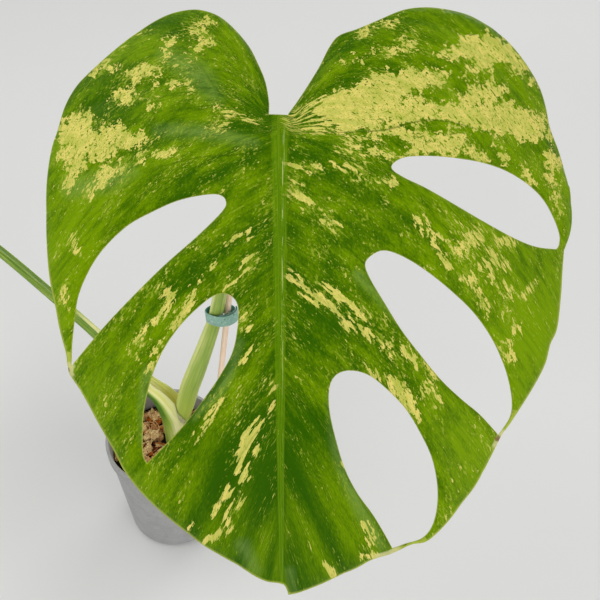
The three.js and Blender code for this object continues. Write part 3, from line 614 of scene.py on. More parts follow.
MAIN_STREAKS = [
    # fine streaks that fan out from the stalk
    [(3, 2, 0.5), (12, -2, 1.4), (24, -10, 2)], [(4, 4, 0.8), (14, 1, 1.6), (24, -4, 3)],
    [(6, 7, 0.6), (20, 8, 2), (34, 9, 2)], [(2, -2, 0.4), (10, -12, 1)],
    # left inner part and upper left lobe
    [(-36, -4, 2), (-25, 0, 2.2), (-14, 3, 1)], [(-36, 6, 1.6), (-30, 6, 2.2)],
    [(-67, 21, 2), (-58, 20, 2.6)], [(-75, 22, 1.6), (-69, 23, 2)], [(-69, -21, 1), (-61, -18, 2)],
    [(-63, -35, 2), (-60, -35, 2)], [(-55, -18, 1), (-48, -17, 2)], [(-97, -30, 1), (-92, -28, 2)],
    [(-45, -52, 1.6), (-38, -53, 1.6)], [(-70, -6, 1), (-66, -8, 1.6)],
    # right inner lobe
    [(34, 12, 2), (54, 13, 2.6)], [(36, 16, 1), (61, 23, 2)], [(104, 19, 4), (112, 22, 4)],
    [(151, -3, 3), (155, 8, 4)], [(140, -28, 2), (145, -24, 2)], [(44, -46, 1), (48, -50, 2)],
    [(56, -52, 1), (66, -56, 2.4)], [(37, -30, 1), (50, -34, 1.6)], [(120, 14, 2), (126, 22, 3)],
    [(156, 41, 3), (160, 50, 2)],
    # below the right inner lobe
    [(6, 38, 2), (15, 47, 3), (21, 51, 2)], [(23, 56, 1), (31, 62, 2)], [(54, 36, 2), (61, 36, 3)],
    [(2, 26, 0.8), (20, 30, 1.4)], [(24, 24, 1), (44, 32, 2)], [(30, 18, 1), (45, 22, 1.4)],
    [(75, 56, 3.4), (79, 62, 4), (86, 72, 2.6), (92, 82, 1.4)], [(100, 62, 2), (108, 65, 3)],
    [(101, 68, 3), (109, 69, 3)], [(122, 67, 4), (127, 68, 4)], [(92, 66, 1), (97, 74, 2)],
    [(110, 79, 3), (117, 87, 3)], [(115, 73, 4), (124, 81, 4)], [(99, 66, 1), (103, 74, 2)],
    [(101, 86, 4), (108, 90, 4), (111, 97, 3), (115, 107, 2)], [(122, 90, 2), (128, 96, 3)],
    [(126, 124, 2.4), (130, 133, 2.6)], [(136, 98, 2), (142, 92, 2)],
    [(126, 106, 0.8), (133, 118, 1.4)],
    # middle right
    [(5, 83, 0.6), (14, 88, 1.4), (26, 95, 3), (41, 106, 3.4), (49, 109, 3)],
    [(3, 85, 0.6), (12, 93, 2), (19, 101, 3.4)], [(20, 96, 1.6), (37, 112, 3), (50, 121, 2)],
    [(68, 126, 3), (74, 136, 3)], [(74, 130, 1), (78, 134, 3), (85, 141, 3)],
    [(79, 147, 3.4), (87, 154, 3.4)], [(61, 145, 6), (68, 152, 8), (75, 165, 4)],
    [(47, 139, 2), (53, 143, 3)], [(30, 100, 1), (44, 115, 1.4), (60, 130, 1.2)],
    # middle left
    [(-66, 94, 2), (-61, 95, 3)], [(-57, 96, 3), (-61, 103, 3), (-67, 111, 1.6)],
    [(-42, 89, 2), (-46, 96, 4), (-50, 102, 5), (-57, 114, 3)], [(-28, 69, 1), (-10, 62, 1)],
    [(-15, 77, 3), (-20, 84, 2)], [(-75, 116, 2.6), (-80, 129, 1.6)],
    [(-66, 124, 4), (-71, 137, 3)], [(-19, 106, 3.4), (-19, 115, 3.4)],
    [(-14, 126, 1.6), (-23, 134, 1.6)], [(-120, 92, 1), (-120, 101, 2)],
    [(-114, 64, 1), (-112, 72, 2)], [(-34, 80, 1), (-44, 86, 1.6)], [(-24, 90, 1), (-30, 94, 1.4)],
    # towards the tip
    [(-33, 155, 2), (-40, 165, 3), (-49, 180, 3)], [(-12, 166, 2), (-17, 174, 3.4)],
    [(-19, 174, 2.6), (-22, 188, 5), (-21, 199, 3)], [(-13, 170, 1.6), (-14, 186, 2)],
    [(-28, 205, 2), (-31, 217, 3), (-30, 230, 4), (-43, 237, 4)], [(47, 226, 4), (53, 237, 5)],
    [(49, 246, 3), (56, 248, 3.4)], [(25, 252, 3), (31, 258, 3)], [(-3, 147, 1), (-7, 159, 1)],
    [(34, 190, 1), (37, 199, 2)], [(-36, 216, 1), (-38, 224, 2)], [(-22, 208, 1), (-24, 218, 2)],
    [(-50, 226, 1), (-52, 230, 2)],
]
# The small blade has streaks alone
SIDE_STREAKS = [
    [(10, -6, 2), (34, -16, 5), (62, -18, 8), (80, -12, 5)], [(18, 8, 2), (48, 12, 5), (72, 22, 3)],
    [(-20, -12, 2), (-44, -22, 4), (-66, -18, 5)], [(-30, 10, 2), (-62, 12, 4), (-80, 22, 3)],
    [(-14, 44, 1), (-26, 60, 3)], [(14, 96, 2), (26, 118, 4)], [(-16, 118, 2), (-24, 138, 3)],
    [(48, 110, 3), (52, 120, 2)],
]
DEEPEST = 6.0


def band_depth(streak, points):
    """Millimetres inside a band that has its own width at each of its points."""
    nodes = np.array(streak, float)
    line = smooth_line(nodes, 0, 8) if len(nodes) > 2 else even_steps(nodes, 8)
    best = np.full(len(points), -99.0)
    for a, b in zip(line, line[1:]):
        ahead = b[:2] - a[:2]
        t = np.clip((points - a[:2]) @ ahead / max(ahead @ ahead, 1e-9), 0, 1)
        gap = np.linalg.norm(points - a[:2] - t[:, None] * ahead, axis=1)
        best = np.maximum(best, (a[2] + t * (b[2] - a[2])) / 2 - gap)
    return best


def cream_depth(streaks, patches, points):
    """Millimetres inside the nearest pale part, negative outside, kept within limits."""
    best = np.full(len(points), -DEEPEST)
    for streak in streaks:
        best = np.maximum(best, band_depth(streak, points))
    for patch in patches:
        outline = np.array(patch, float)
        gap = distance_to((outline, np.roll(outline, -1, axis=0)), points)
        best = np.maximum(best, np.where(inside([outline], points), gap, -gap))
    return np.clip(best, -DEEPEST, DEEPEST)


print(len(MAIN_PATCHES), "patches and", len(MAIN_STREAKS), "streaks on the large blade")

# %% [markdown]
# ## Light and dark green, painted sheen and painted shade in creases
# The green of a blade changes slowly over it: deepest beside the midrib, lighter and yellower
# towards the margin, where the tissue is young and thin. On the ridges and along some rims a
# greyish painted sheen stands for the soft reflection of the lamps in the wax. A main vein
# shows as a thin line of painted shade in its crease.
# The thin threads of margin that close some holes are pale, and dry to brown. These are a few
# soft spots and lines, placed one by one.

# %% Tone spots, painted sheen, creases and dry threads
# Spots are (across, along, reach, how much lighter)
MAIN_TONES = [
    (-100, -8, 46, -0.5), (-62, -52, 22, -0.2), (-26, -30, 34, 0.5), (-40, 14, 30, 0.2),
    (-118, 70, 45, 0.3), (-66, 66, 28, 0.1), (-8, 60, 26, -0.25), (-12, 190, 50, -0.68),
    (-36, 120, 24, -0.2), (22, 110, 40, -0.36), (60, 138, 22, -0.1), (6, 20, 20, 0.16),
    (64, -46, 34, 0.05), (26, -20, 18, 0.3), (118, -16, 22, -0.25), (148, 120, 46, 0.62),
    (84, 60, 40, 0.1), (118, 176, 30, 0.3), (40, 232, 34, 0.2), (-26, 248, 22, -0.1),
    (158, 50, 24, 0.15), (100, 190, 26, 0.2), (-70, 205, 24, 0.1),
]
SIDE_TONES = [(-50, 0, 40, -0.3), (60, 40, 40, 0.4), (0, 90, 40, -0.3), (-60, 100, 30, 0.3)]
# Bands of painted sheen are (across, along, width), soft at the sides
MAIN_PAINTED_SHEEN = [
    [(-62, -34, 16), (-44, -22, 20), (-34, -9, 12)], [(-66, 8, 10), (-43, 9, 12), (-14, 15, 9)],
    [(-116, 38, 16), (-92, 34, 18), (-80, 30, 12)], [(42, 86, 9), (57, 101, 10), (82, 125, 9),
                                                     (112, 158, 7)],
    [(28, 152, 7), (32, 184, 11), (46, 219, 12), (58, 241, 9)],
    [(-72, 138, 9), (-75, 156, 9), (-76, 179, 7)], [(-22, 240, 13), (-15, 256, 11)],
    [(5, 257, 9), (7, 270, 7)], [(-22, 122, 8), (-31, 146, 9), (-48, 164, 7)],
    [(118, -4, 6), (136, -2, 8)],
]
SIDE_PAINTED_SHEEN = [[(-50, -20, 14), (-30, -8, 12)], [(40, 30, 12), (62, 50, 10)]]
# Creases, lines of painted shade along main veins, are (across, along, width)
MAIN_CREASES = [
    [(5, 9, 1), (32, 9.5, 1.2), (56, 8, 1.6), (70, 4, 1.6), (84, 2, 1.4), (101, 4, 1.2),
     (120, 9, 0.5)],
    [(-5, 17, 0.9), (-19, 21, 1.1), (-43, 23, 1.1), (-63, 28, 0.8), (-73, 34, 0.4)],
    [(-4, 9, 0.8), (-18, 2, 1), (-34, -14, 1), (-44, -30, 0.5)],
]
# Dry spots are (across, along, reach, how dry): a thread turns brown where this is nearly 1
MAIN_DRY = [(123.5, 178.5, 9, 1), (61, 245, 13, 0.85), (-118.4, 138.6, 7, 0.97)]


def vein_crease(bend, place, sign):
    """The crease of a main side vein: widest near the midrib, gone towards the margin."""
    reach = np.linspace(5, 165, 9)
    line = vein_line(bend, np.full_like(reach, place), reach)
    return [(sign * a, b, max(0.1, 0.9 - a / 110)) for a, b in zip(reach, line)]


def all_creases(bend, veins, drawn):
    """The drawn creases first, then one for each main side vein that leaves the midrib."""
    lines = list(drawn)
    for side, sign in (("left", -1), ("right", 1)):
        lines += [vein_crease(bend, place, sign) for place in veins[side][1:-1] if place > 0.1]
    return lines


def soft_spots(spots, points):
    """Adds up round spots that fade to nothing at their reach."""
    total = np.zeros(len(points))
    for across, down, reach, amount in spots:
        gap = np.hypot(points[:, 0] - across, points[:, 1] - down)
        total += amount * (1 - ease(0, reach, gap))
    return total


def soft_bands(bands, points):
    """How far inside the nearest band a point is: 1 on its line and 0 at its side."""
    best = np.zeros(len(points))
    for band in bands:
        width = max(point[2] for point in band)
        best = np.maximum(best, np.clip(band_depth(band, points) / width * 2, 0, 1))
    return best


print("tone at the middle of the blade:", soft_spots(MAIN_TONES, np.array([(0, 120)])).round(2))

# %% [markdown]
# ## The finish of a blade
# Living leaf skin is covered with a thin wax, so light is reflected softly, and the reflection
# is tinted by the leaf. The pattern comes in layers, from broad to fine: the slow change of
# green with painted shade along the main side veins, mottling along the veins, a greyish
# painted sheen, small yellow-green flecks, larger cream flecks in loose groups, the cream
# patches with ragged edges and green islands, then creases in painted shade, the midrib with
# its lengthwise lines, a painted highlight and painted shade at its sides, and the thin light
# line of the margin. Each is scaled in real millimetres, and noise is stretched along the
# veins by a coordinate stored on the mesh.

# %% What the pattern is made from
def vein_noise(leaf, width, length, detail=2.0, rough=0.5, shift=0.0):
    """Noise whose grains are width by length millimetres, lying along the veins."""
    stretched = node(leaf.tree, "ShaderNodeVectorMath", leaf.vein,
                     (1 / width, 1 / length, 1), (shift, shift, 0), operation="MULTIPLY_ADD")
    return node(leaf.tree, "ShaderNodeTexNoise", {
        "Vector": stretched, "Scale": 1.0, "Detail": detail, "Roughness": rough})


def blotches(leaf, size, detail, rough):
    """Noise with round grains, for the places where a pattern doesn't follow the veins."""
    shrunk = node(leaf.tree, SCALED, leaf.flat, (1 / size, 1 / size, 0))
    return node(leaf.tree, "ShaderNodeTexNoise", {
        "Vector": shrunk, "Scale": 1.0, "Detail": detail, "Roughness": rough})


def leaf_patterns(tree):
    """Everything that the colours of a leaf are worked out from."""
    leaf = SimpleNamespace(tree=tree)
    for key in ("tone", "bloom", "depth", "crease", "rib", "dry", "edge"):
        value = node(tree, "ShaderNodeAttribute", attribute_name=key)
        setattr(leaf, key, value.node.outputs["Fac"])
    for key in ("vein", "flat"):
        value = node(tree, "ShaderNodeAttribute", attribute_name=key)
        setattr(leaf, key, value.node.outputs["Vector"])
    leaf.across, leaf.down, leaf.rim = node(
        tree, "ShaderNodeSeparateXYZ", leaf.flat).node.outputs
    reach = node(tree, "ShaderNodeSeparateXYZ", leaf.vein).node.outputs["Y"]
    # Noises from broad to fine
    leaf.broad = vein_noise(leaf, 16, 50)
    leaf.groups = vein_noise(leaf, 11, 26, 2, 0.5, 7.3)
    leaf.mottle = vein_noise(leaf, 3.8, 15, 3, 0.6)
    leaf.clumps = vein_noise(leaf, 1.9, 5.0, 3, 0.6, 3.1)
    leaf.crumbs = vein_noise(leaf, 0.95, 2.8, 2, 0.6)
    leaf.pepper = vein_noise(leaf, 0.75, 1.8, 2, 0.6, 5.7)
    leaf.fibres = vein_noise(leaf, 0.6, 34, 2)
    # Places: far out from the stalk, the outer part of the lobes, the middle, and the tip
    leaf.outward = node(tree, STEP, reach, 30, 100)
    leaf.in_lobe = node(tree, TIMES, leaf.outward, node(tree, STEP, leaf.down, 55, 20))
    leaf.centre = node(tree, STEP, node(tree, ABSOLUTE, leaf.across), 75, 20)
    leaf.tip = node(tree, TIMES, leaf.centre, node(tree, STEP, leaf.down, 140, 200))
    # Flecks crowd in loose groups and near the pale patches, and thin out near the tip
    crowd = node(tree, ADD, node(tree, STEP, leaf.groups, 0.35, 0.68, -0.08, 0.05),
                 node(tree, TIMES, leaf.tip, -0.05))
    leaf.crowd = node(tree, ADD, crowd, node(tree, STEP, leaf.depth, -DEEPEST, 0.0, 0.0, 0.06))
    return leaf


# %% Green and flecks
def leaf_green(leaf, greens, painted_sheen_colour):
    """The stored tone with its painted vein shade, mottling, fine parallel veins and painted sheen.
    """
    tree = leaf.tree
    streaked = node(tree, TIMES, node(tree, STEP, leaf.mottle, 0.25, 0.75, -0.34, 0.34),
                    node(tree, STEP, leaf.tip, 0.0, 1.0, 1.0, 0.45))
    clouded = node(tree, STEP, leaf.broad, 0.25, 0.75, -0.26, 0.26)
    light = node(tree, ADD, leaf.tone, node(tree, ADD, streaked, clouded))
    light = node(tree, ADD, light, node(tree, STEP, leaf.pepper, 0.25, 0.75, -0.2, 0.2))
    green = node(tree, BLEND, node(tree, STEP, light, -0.25, 1.2), greens[0], greens[1])
    lines = node(tree, STEP, leaf.fibres, 0.4, 0.7, 0.0, 0.22)
    green = node(tree, BLEND, lines, green, greens[2])
    # Painted sheen: a greyish reflection of the lamps, laid on in bands and broken by the mottling
    bloom = node(tree, TIMES, leaf.bloom, node(tree, STEP, leaf.mottle, 0.3, 0.6, 0.25, 0.5))
    return node(tree, BLEND, bloom, green, painted_sheen_colour)


def leaf_flecks(leaf, green, creams):
    """Small flecks and threads of yellow-green, and larger flecks of cream."""
    tree = leaf.tree
    small = node(tree, STEP, node(tree, ADD, leaf.crumbs, leaf.crowd), 0.575, 0.63, 0.0, 0.55)
    green = node(tree, BLEND, small, green, creams[2])
    threads = node(tree, STEP, vein_noise(leaf, 1.0, 13, 2, 0.5, 9.1), 0.64, 0.7, 0.0, 0.4)
    above_tip = node(tree, TIMES, leaf.centre, node(tree, STEP, leaf.down, 200, 150))
    green = node(tree, BLEND, node(tree, TIMES, threads, above_tip), green, creams[2])
    large = node(tree, STEP, node(tree, ADD, leaf.clumps, leaf.crowd), 0.645, 0.675, 0.0, 0.85)
    large = node(tree, TIMES, large, node(tree, STEP, leaf.crumbs, 0.3, 0.42))
    return node(tree, BLEND, large, green, creams[1])


# %% Cream patches
def ragged_depth(leaf):
    """The stored depth in a patch, with its edge made ragged by three sizes of noise. Edges
    are drawn out into flames near the stalk, less so further out, and are blotchy in the
    outer part of the lobes."""
    tree = leaf.tree
    ragged = node(tree, MIX, leaf.outward, vein_noise(leaf, 3.2, 18, 3, 0.5),
                  vein_noise(leaf, 3.8, 8.5, 3, 0.6))
    ragged = node(tree, MIX, leaf.in_lobe, ragged, blotches(leaf, 6.0, 3, 0.55))
    nibbled = node(tree, MIX, leaf.in_lobe, leaf.clumps, blotches(leaf, 2.6, 2, 0.6))
    fine = node(tree, ADD, node(tree, STEP, leaf.pepper, 0.2, 0.8, -1.4, 1.4),
                node(tree, STEP, nibbled, 0.25, 0.75, -2.6, 2.6))
    fine = node(tree, TIMES, fine, node(tree, STEP, leaf.outward, 0.0, 1.0, 0.35, 1.0))
    coarse = node(tree, STEP, ragged, 0.22, 0.78, -3.8, 3.8)
    return node(tree, ADD, leaf.depth, node(tree, ADD, coarse, fine))


def leaf_cream(leaf, green, creams):
    """Patches and streaks of cream in three tones, with green islands in them."""
    tree = leaf.tree
    fewer = node(tree, STEP, leaf.outward, 0.0, 1.0, 0.03, -0.022)
    grouped = node(tree, ADD, fewer, node(tree, STEP, leaf.groups, 0.35, 0.68, 0.05, -0.05))
    dots = node(tree, STEP, node(tree, ADD, leaf.pepper, grouped), 0.32, 0.38)
    spots = node(tree, STEP, node(tree, ADD, leaf.clumps, fewer), 0.35, 0.39)
    pale = node(tree, TIMES, node(tree, STEP, ragged_depth(leaf), -0.3, 0.35),
                node(tree, TIMES, dots, spots))
    cream = node(tree, BLEND, node(tree, STEP, leaf.mottle, 0.42, 0.6), creams[0], creams[1])
    for pattern, low, high, tone in (
            (vein_noise(leaf, 8, 15, 3, 0.6, 4.4), 0.5, 0.68, creams[2]),
            (leaf.crumbs, 0.42, 0.7, creams[1]), (leaf.pepper, 0.5, 0.36, creams[2])):
        cream = node(tree, BLEND, node(tree, STEP, pattern, low, high, 0.0, 0.6), cream, tone)
    return node(tree, BLEND, pale, green, cream)


# %% Creases, midrib and margin
PALE_THREAD = "#cfcb8e"
DRIED_THREAD = "#6e4d2a"


def leaf_midrib(leaf, skin_colour, crease_shade_colour, rib_tones):
    """Creases in painted shade, then the midrib: a band of lengthwise lines with one broken
    painted highlight on its right, and painted shade in a valley on each side."""
    tree = leaf.tree
    # Painted shade along each crease
    crease = node(tree, STEP, leaf.crease, 0.0, 1.0, 0.0, 0.6)
    skin_colour = node(tree, BLEND, crease, skin_colour, crease_shade_colour)
    lines, dashes = (node(tree, "ShaderNodeTexNoise", {
        "Vector": node(tree, "ShaderNodeVectorMath", leaf.flat, stretch, (0, 0, shift),
                       operation="MULTIPLY_ADD"), "Scale": 1.0})
        for stretch, shift in (((1.9, 0.035, 0), 0.0), ((1.4, 0.085, 0), 3.3)))
    rib_tone = node(tree, BLEND, node(tree, STEP, lines, 0.3, 0.75), rib_tones[0], rib_tones[1])
    # The broken pale line on the right of the midrib is a painted highlight
    from_line = node(tree, ABSOLUTE, node(tree, ADD, leaf.rib, -0.42))
    broken = node(tree, TIMES, node(tree, STEP, dashes, 0.5, 0.62, 0.0, 0.75),
                  node(tree, STEP, leaf.down, 190, 90, 0.2, 1.0))
    painted_glint = node(tree, TIMES, node(tree, STEP, from_line, 0.2, 0.05), broken)
    rib_tone = node(tree, BLEND, painted_glint, rib_tone, rib_tones[2])
    from_middle = node(tree, ABSOLUTE, leaf.rib)
    band = node(tree, TIMES, node(tree, STEP, from_middle, 1.15, 0.8, 0.0, 0.72),
                node(tree, STEP, leaf.down, 0.0, 16.0))
    skin_colour = node(tree, BLEND, band, skin_colour, rib_tone)
    # Painted shade in the valley on each side of the midrib
    valley = node(tree, TIMES, node(tree, STEP, from_middle, 2.1, 1.25),
                  node(tree, STEP, from_middle, 0.9, 1.2, 0.0, 0.22))
    return node(tree, BLEND, valley, skin_colour, crease_shade_colour)


def leaf_margin(leaf, skin_colour, edge_colour):
    """A thin light line on every rim and along the margin, and the threads that have dried."""
    tree = leaf.tree
    rim = node(tree, STEP, leaf.rim, 0.55, 0.15, 0.0, 0.45)
    edge = node(tree, STEP, leaf.edge, 1.5, 0.5, 0.0, 0.5)
    thread = node(tree, TIMES, node(tree, STEP, leaf.dry, 0.1, 0.5),
                  node(tree, STEP, leaf.edge, 3.4, 2.0))
    thread = node(tree, TIMES, thread, 0.7)
    dried = node(tree, STEP, leaf.dry, 0.8, 0.92, 0.0, 0.85)
    for part, tone in ((rim, edge_colour), (edge, edge_colour), (thread, PALE_THREAD),
                       (dried, DRIED_THREAD)):
        skin_colour = node(tree, BLEND, part, skin_colour, tone)
    return skin_colour


# %% Leaf materials
def leaf_material(name, greens, creams, rib_tones, painted_sheen_colour, edge_colour, roughness):
    """Waxy leaf skin whose streaks and flecks follow the veins."""
    tree, surface, material = new_material(name)
    leaf = leaf_patterns(tree)
    skin_colour = leaf_green(leaf, greens, painted_sheen_colour)
    skin_colour = leaf_flecks(leaf, skin_colour, creams)
    skin_colour = leaf_cream(leaf, skin_colour, creams)
    skin_colour = leaf_midrib(leaf, skin_colour, greens[2], rib_tones)
    skin_colour = leaf_margin(leaf, skin_colour, edge_colour)
    tree.links.new(skin_colour, surface.inputs["Base Color"])
    # The relief is fine parallel veins and skin cells, with its depth in metres
    cells = node(tree, ADD, leaf.fibres, node(tree, TIMES, leaf.crumbs, 0.5))
    tree.links.new(node(tree, "ShaderNodeBump", {
        "Height": cells, "Strength": 0.35, "Distance": 0.12 * MM}), surface.inputs["Normal"])
    gloss = node(tree, STEP, leaf.broad, 0.3, 0.7, roughness - 0.05, roughness + 0.08)
    tree.links.new(gloss, surface.inputs["Roughness"])
    surface.inputs["IOR"].default_value = 1.45
    surface.inputs["Specular IOR Level"].default_value = 0.17
    surface.inputs["Specular Tint"].default_value = colour("#d3e25a")
    print(f"{name}: {len(tree.nodes)} nodes")
    return material


# The third green colours the fibre lines and the painted shade of creases and midrib valleys. The
# third rib tone is a painted highlight, and the colour after the rib tones a painted sheen.
leaf_top = leaf_material(
    "waxy_leaf_upper_skin", ("#2a5600", "#729400", "#204600"), ("#dacb6c", "#bfbd5a", "#98a732"),
    ("#457200", "#6c8c10", "#cfd488"), "#74904a", "#b6bf4c", 0.42)
leaf_back = leaf_material(
    "waxy_leaf_lower_skin", ("#5b8034", "#8aa452", "#4f7430"), ("#cfcf96", "#b4bd78", "#9aad60"),
    ("#8ea95a", "#a9bd68", "#c3cf96"), "#8fae78", "#a3b466", 0.52)

# %% [markdown]
# ## The blades
# The net is lifted to its height twice, once for each face. The upper face swells between the
# veins and rolls down a little at the rims. The lower face carries the midrib, as a rounded
# keel, and the main side veins, as thin ridges. A wall of faces joins the two at the edge.

# %% The two faces of the sheet
SHEET = 0.55


def vein_gap(bend, veins, points):
    """Millimetres from each point to the nearest main side vein."""
    x, y = points.T
    place = vein_place(bend, x, y)
    steepness = np.hypot(vein_place(bend, x + 0.5, y) - vein_place(bend, x - 0.5, y),
                         vein_place(bend, x, y + 0.5) - vein_place(bend, x, y - 0.5))
    nearest = [np.abs(place[:, None] - np.array(veins[side])).min(1)
               for side in ("left", "right")]
    return np.where(x < 0, *nearest) / np.maximum(steepness, 1e-3)


def face_heights(bend, veins, flat, rim, gap, rib):
    """Height of the upper and of the lower face at each point."""
    x, y = flat.T
    out = np.abs(x)
    crest = np.clip(1 - rib ** 2, 0, 1)
    ripple = 0.35 * np.sin(x / 17 + y / 29) * np.sin(y / 21 - x / 40)
    roll = -0.014 * np.maximum(0, 9 - rim) ** 2 * ease(8, 24, out)
    upper = blade_height(bend, veins, x, y) + ripple + roll + 0.6 * crest
    keel = rib_depth(bend, y) * np.sqrt(crest)
    ridge = (0.9 * np.exp(-(gap / 1.1) ** 2) * ease(3, 8, out) * ease(1, 4, rim)
             * (1 - 0.7 * ease(40, 150, out)))
    lower = upper - SHEET - np.where(y > 0, keel, 0) - ridge - 0.3 * crest
    return upper, lower


def sheet_faces(flat, faces):
    """Triangles of the upper and of the lower face, and the walls at every open edge."""
    a, b, c = faces.T
    turned = (np.cross(flat[b] - flat[a], flat[c] - flat[a]) < 0)
    faces = np.where(turned[:, None], faces[:, ::-1], faces)
    a, b, c = faces.T
    count = len(flat)
    sides = np.concatenate([faces[:, [0, 1]], faces[:, [1, 2]], faces[:, [2, 0]]])
    known = {(int(p), int(q)) for p, q in sides}
    walls = [(p, q, q + count, p + count) for p, q in known if (q, p) not in known]
    return np.stack([a, c, b], 1).tolist(), (faces + count).tolist(), walls


# %% What the pattern reads at each point
CREASE_HALF = 0.8
HALF_SHIFT = 37.0


def pattern_place(bend, flat):
    """Coordinates for the pattern: across the veins, along them, and a shift for one half. In
    the lobes the veins fan out from the stalk, so they lie closer together near it."""
    x, y = flat.T
    first = vein_line(bend, np.zeros_like(x), np.abs(x))
    fan = (first - y) / np.maximum(0.15, 1 - np.exp(-np.abs(x) / 45))
    lobe = ease(0, 60, fan)
    reach = 1.35 * np.abs(x) * (1 - lobe) + 1.8 * np.hypot(x, y - VEIN_START) * lobe
    return np.stack([np.where(fan > 0, -0.8 * fan, 190 * vein_place(bend, x, y)), reach,
                     np.where(x < 0, HALF_SHIFT, 0.0)], 1)


def crease_value(creases, flat):
    """1 in the middle of a crease and 0 at its sides: how much painted shade darkens it there."""
    crease = np.zeros(len(flat))
    for line in creases:
        crease = np.maximum(crease, band_depth(line, flat) / CREASE_HALF)
    return np.clip(crease, 0, 1) * ease(1, 5, np.abs(flat[:, 0]))


def margin_value(flat, rim, outer_rim):
    """Distance to the pale line of the margin. The lobes and most holes have none."""
    x, y = flat.T
    edge = np.where((y > 118) & (x < -50), np.minimum(outer_rim, rim + 0.6), outer_rim)
    return edge + 4 * (1 - ease(20, 90, y))


def tone_value(spots, flat, gap):
    """Light and dark green, with painted shade where the blade dips along each main side vein."""
    out = np.abs(flat[:, 0])
    tone = 0.38 + 0.3 * ease(15, 110, out) + soft_spots(spots, flat)
    # The last term is painted shade in the dip along each main side vein
    return tone - 0.4 * np.exp(-(gap / 5) ** 2) * ease(2, 6, out) * (1 - ease(40, 120, out))


# %% Build the two blades
def square_to(tip, face):
    """The direction a blade faces, square to the direction of its tip."""
    return unit(np.array(face, float) - np.array(tip, float) * np.dot(face, tip))


def build_blade(name, design):
    """One blade as a closed thin sheet, placed where its stalk meets it."""
    bend, veins = design["bend"], design["veins"]
    creases = all_creases(bend, veins, design["creases"])
    flat, faces, loops = blade_net(design["margin"], design["holes"], bend, creases)
    x, y = flat.T
    ends = np.vstack([np.roll(loop, -1, axis=0) for loop in loops])
    rim = distance_to((np.vstack(loops), ends), flat)
    outer_rim = distance_to((loops[0], np.roll(loops[0], -1, axis=0)), flat)
    gap = vein_gap(bend, veins, flat)
    rib = np.where(y > -1, x / rib_width(bend, y), 3.0 * np.sign(x))
    values = {
        "depth": cream_depth(design["streaks"], design["patches"], flat),
        "tone": tone_value(design["tones"], flat, gap),
        "bloom": soft_bands(design["bloom"], flat), "crease": crease_value(creases, flat),
        "rib": rib, "dry": soft_spots(design["dry"], flat),
        "edge": margin_value(flat, rim, outer_rim)}
    places = {"vein": pattern_place(bend, flat), "flat": np.stack([x, y, rim], 1)}

    out = square_to(design["tip"], design["face"])
    back = -np.array(design["tip"], float)
    right = np.cross(back, out)
    local = np.concatenate([np.stack([x, -y, height], 1) for height in face_heights(
        bend, veins, flat, rim, gap, rib)])
    points = np.array(design["base"]) + local @ np.stack([right, back, out])
    top, bottom, walls = sheet_faces(flat, faces)
    slots = [0] * len(top) + [1] * len(bottom) + [0] * len(walls)
    return make_mesh(name, points, [*top, *bottom, *walls], [leaf_top, leaf_back],
                     {key: np.tile(value, 2) for key, value in values.items()},
                     {key: np.tile(value, (2, 1)) for key, value in places.items()}, slots)


main_design = {
    "margin": MAIN_MARGIN, "holes": MAIN_HOLES, "bend": MAIN_BEND, "veins": MAIN_VEINS,
    "base": MAIN_BASE, "tip": MAIN_TIP, "face": MAIN_FACE, "streaks": MAIN_STREAKS,
    "patches": MAIN_PATCHES, "tones": MAIN_TONES, "bloom": MAIN_PAINTED_SHEEN,
    "creases": MAIN_CREASES, "dry": MAIN_DRY}
side_design = {
    "margin": SIDE_MARGIN, "holes": SIDE_HOLES, "bend": SIDE_BEND, "veins": SIDE_VEINS,
    "base": SIDE_BASE, "tip": SIDE_TIP, "face": SIDE_FACE, "streaks": SIDE_STREAKS,
    "patches": [], "tones": SIDE_TONES, "bloom": SIDE_PAINTED_SHEEN, "creases": [], "dry": []}
stands_for(build_blade("blade_large", main_design), "leaf_main")
stands_for(build_blade("blade_small", side_design), "leaf_side")

# %% [markdown]
# ## The stalks
# A leaf stalk is a smooth firm rod, pale where it has had little light and green where it had
# more, with faint lengthwise lines of fibre. The large leaf's stalk is palest on its left. The
# small leaf's stalk ends below in an open sheath that once held the next leaf. Both follow the
# same centre lines as the solids, with more and rounder sections.

# %% Stalk lines
SOIL_TOP = 117.0
STEM_TOP = 121.0
BLADE_SHEET = 0.9
CLEARANCE = 0.3


def under_blade(base, tip, face, bend, inset):
    """Where a stalk ends, under the midrib of its blade."""
    under = BLADE_SHEET + rib_depth(bend, inset) + 1.2 * CLEARANCE
    return np.array(base) + np.array(tip) * inset - square_to(tip, face) * under


MAIN_STALK_LINE = [
    (12.8, 7.6, STEM_TOP + 2 * CLEARANCE), (12.8, 7.6, 127), (15, 7.6, 141), (23.5, 7.6, 170),
    (31.2, 7.6, 198), (38.5, 7.6, 220), (49.4, 7, 254), (60.3, 3.7, 292), (67.5, -2.8, 328),
    (80, -13, 385), (95, -28, 440), (108, -43, 487)]
SIDE_STALK_LINE = [
    (13.4, 8.2, SOIL_TOP - 6), (13.4, 9, 131), (12, 10, 154), (4, 12.5, 174), (-8.5, 15.5, 189),
    (-32.1, 20.2, 225.5), (-48.3, 24.8, 249.3), (-80.7, 34.8, 286.9), (-116.4, 44, 329.1),
    (-146.7, 51.3, 359.3), (-176, 56.8, 383.2), (-203.5, 60.5, 399.7)]
main_end = under_blade(MAIN_BASE, MAIN_TIP, MAIN_FACE, MAIN_BEND, 4)
main_bend_start = main_end - square_to(MAIN_TIP, MAIN_FACE) * 22
side_end = under_blade(SIDE_BASE, SIDE_TIP, SIDE_FACE, SIDE_BEND, 3)
side_bend_start = side_end - square_to(SIDE_TIP, SIDE_FACE) * 12 - SIDE_TIP * 3
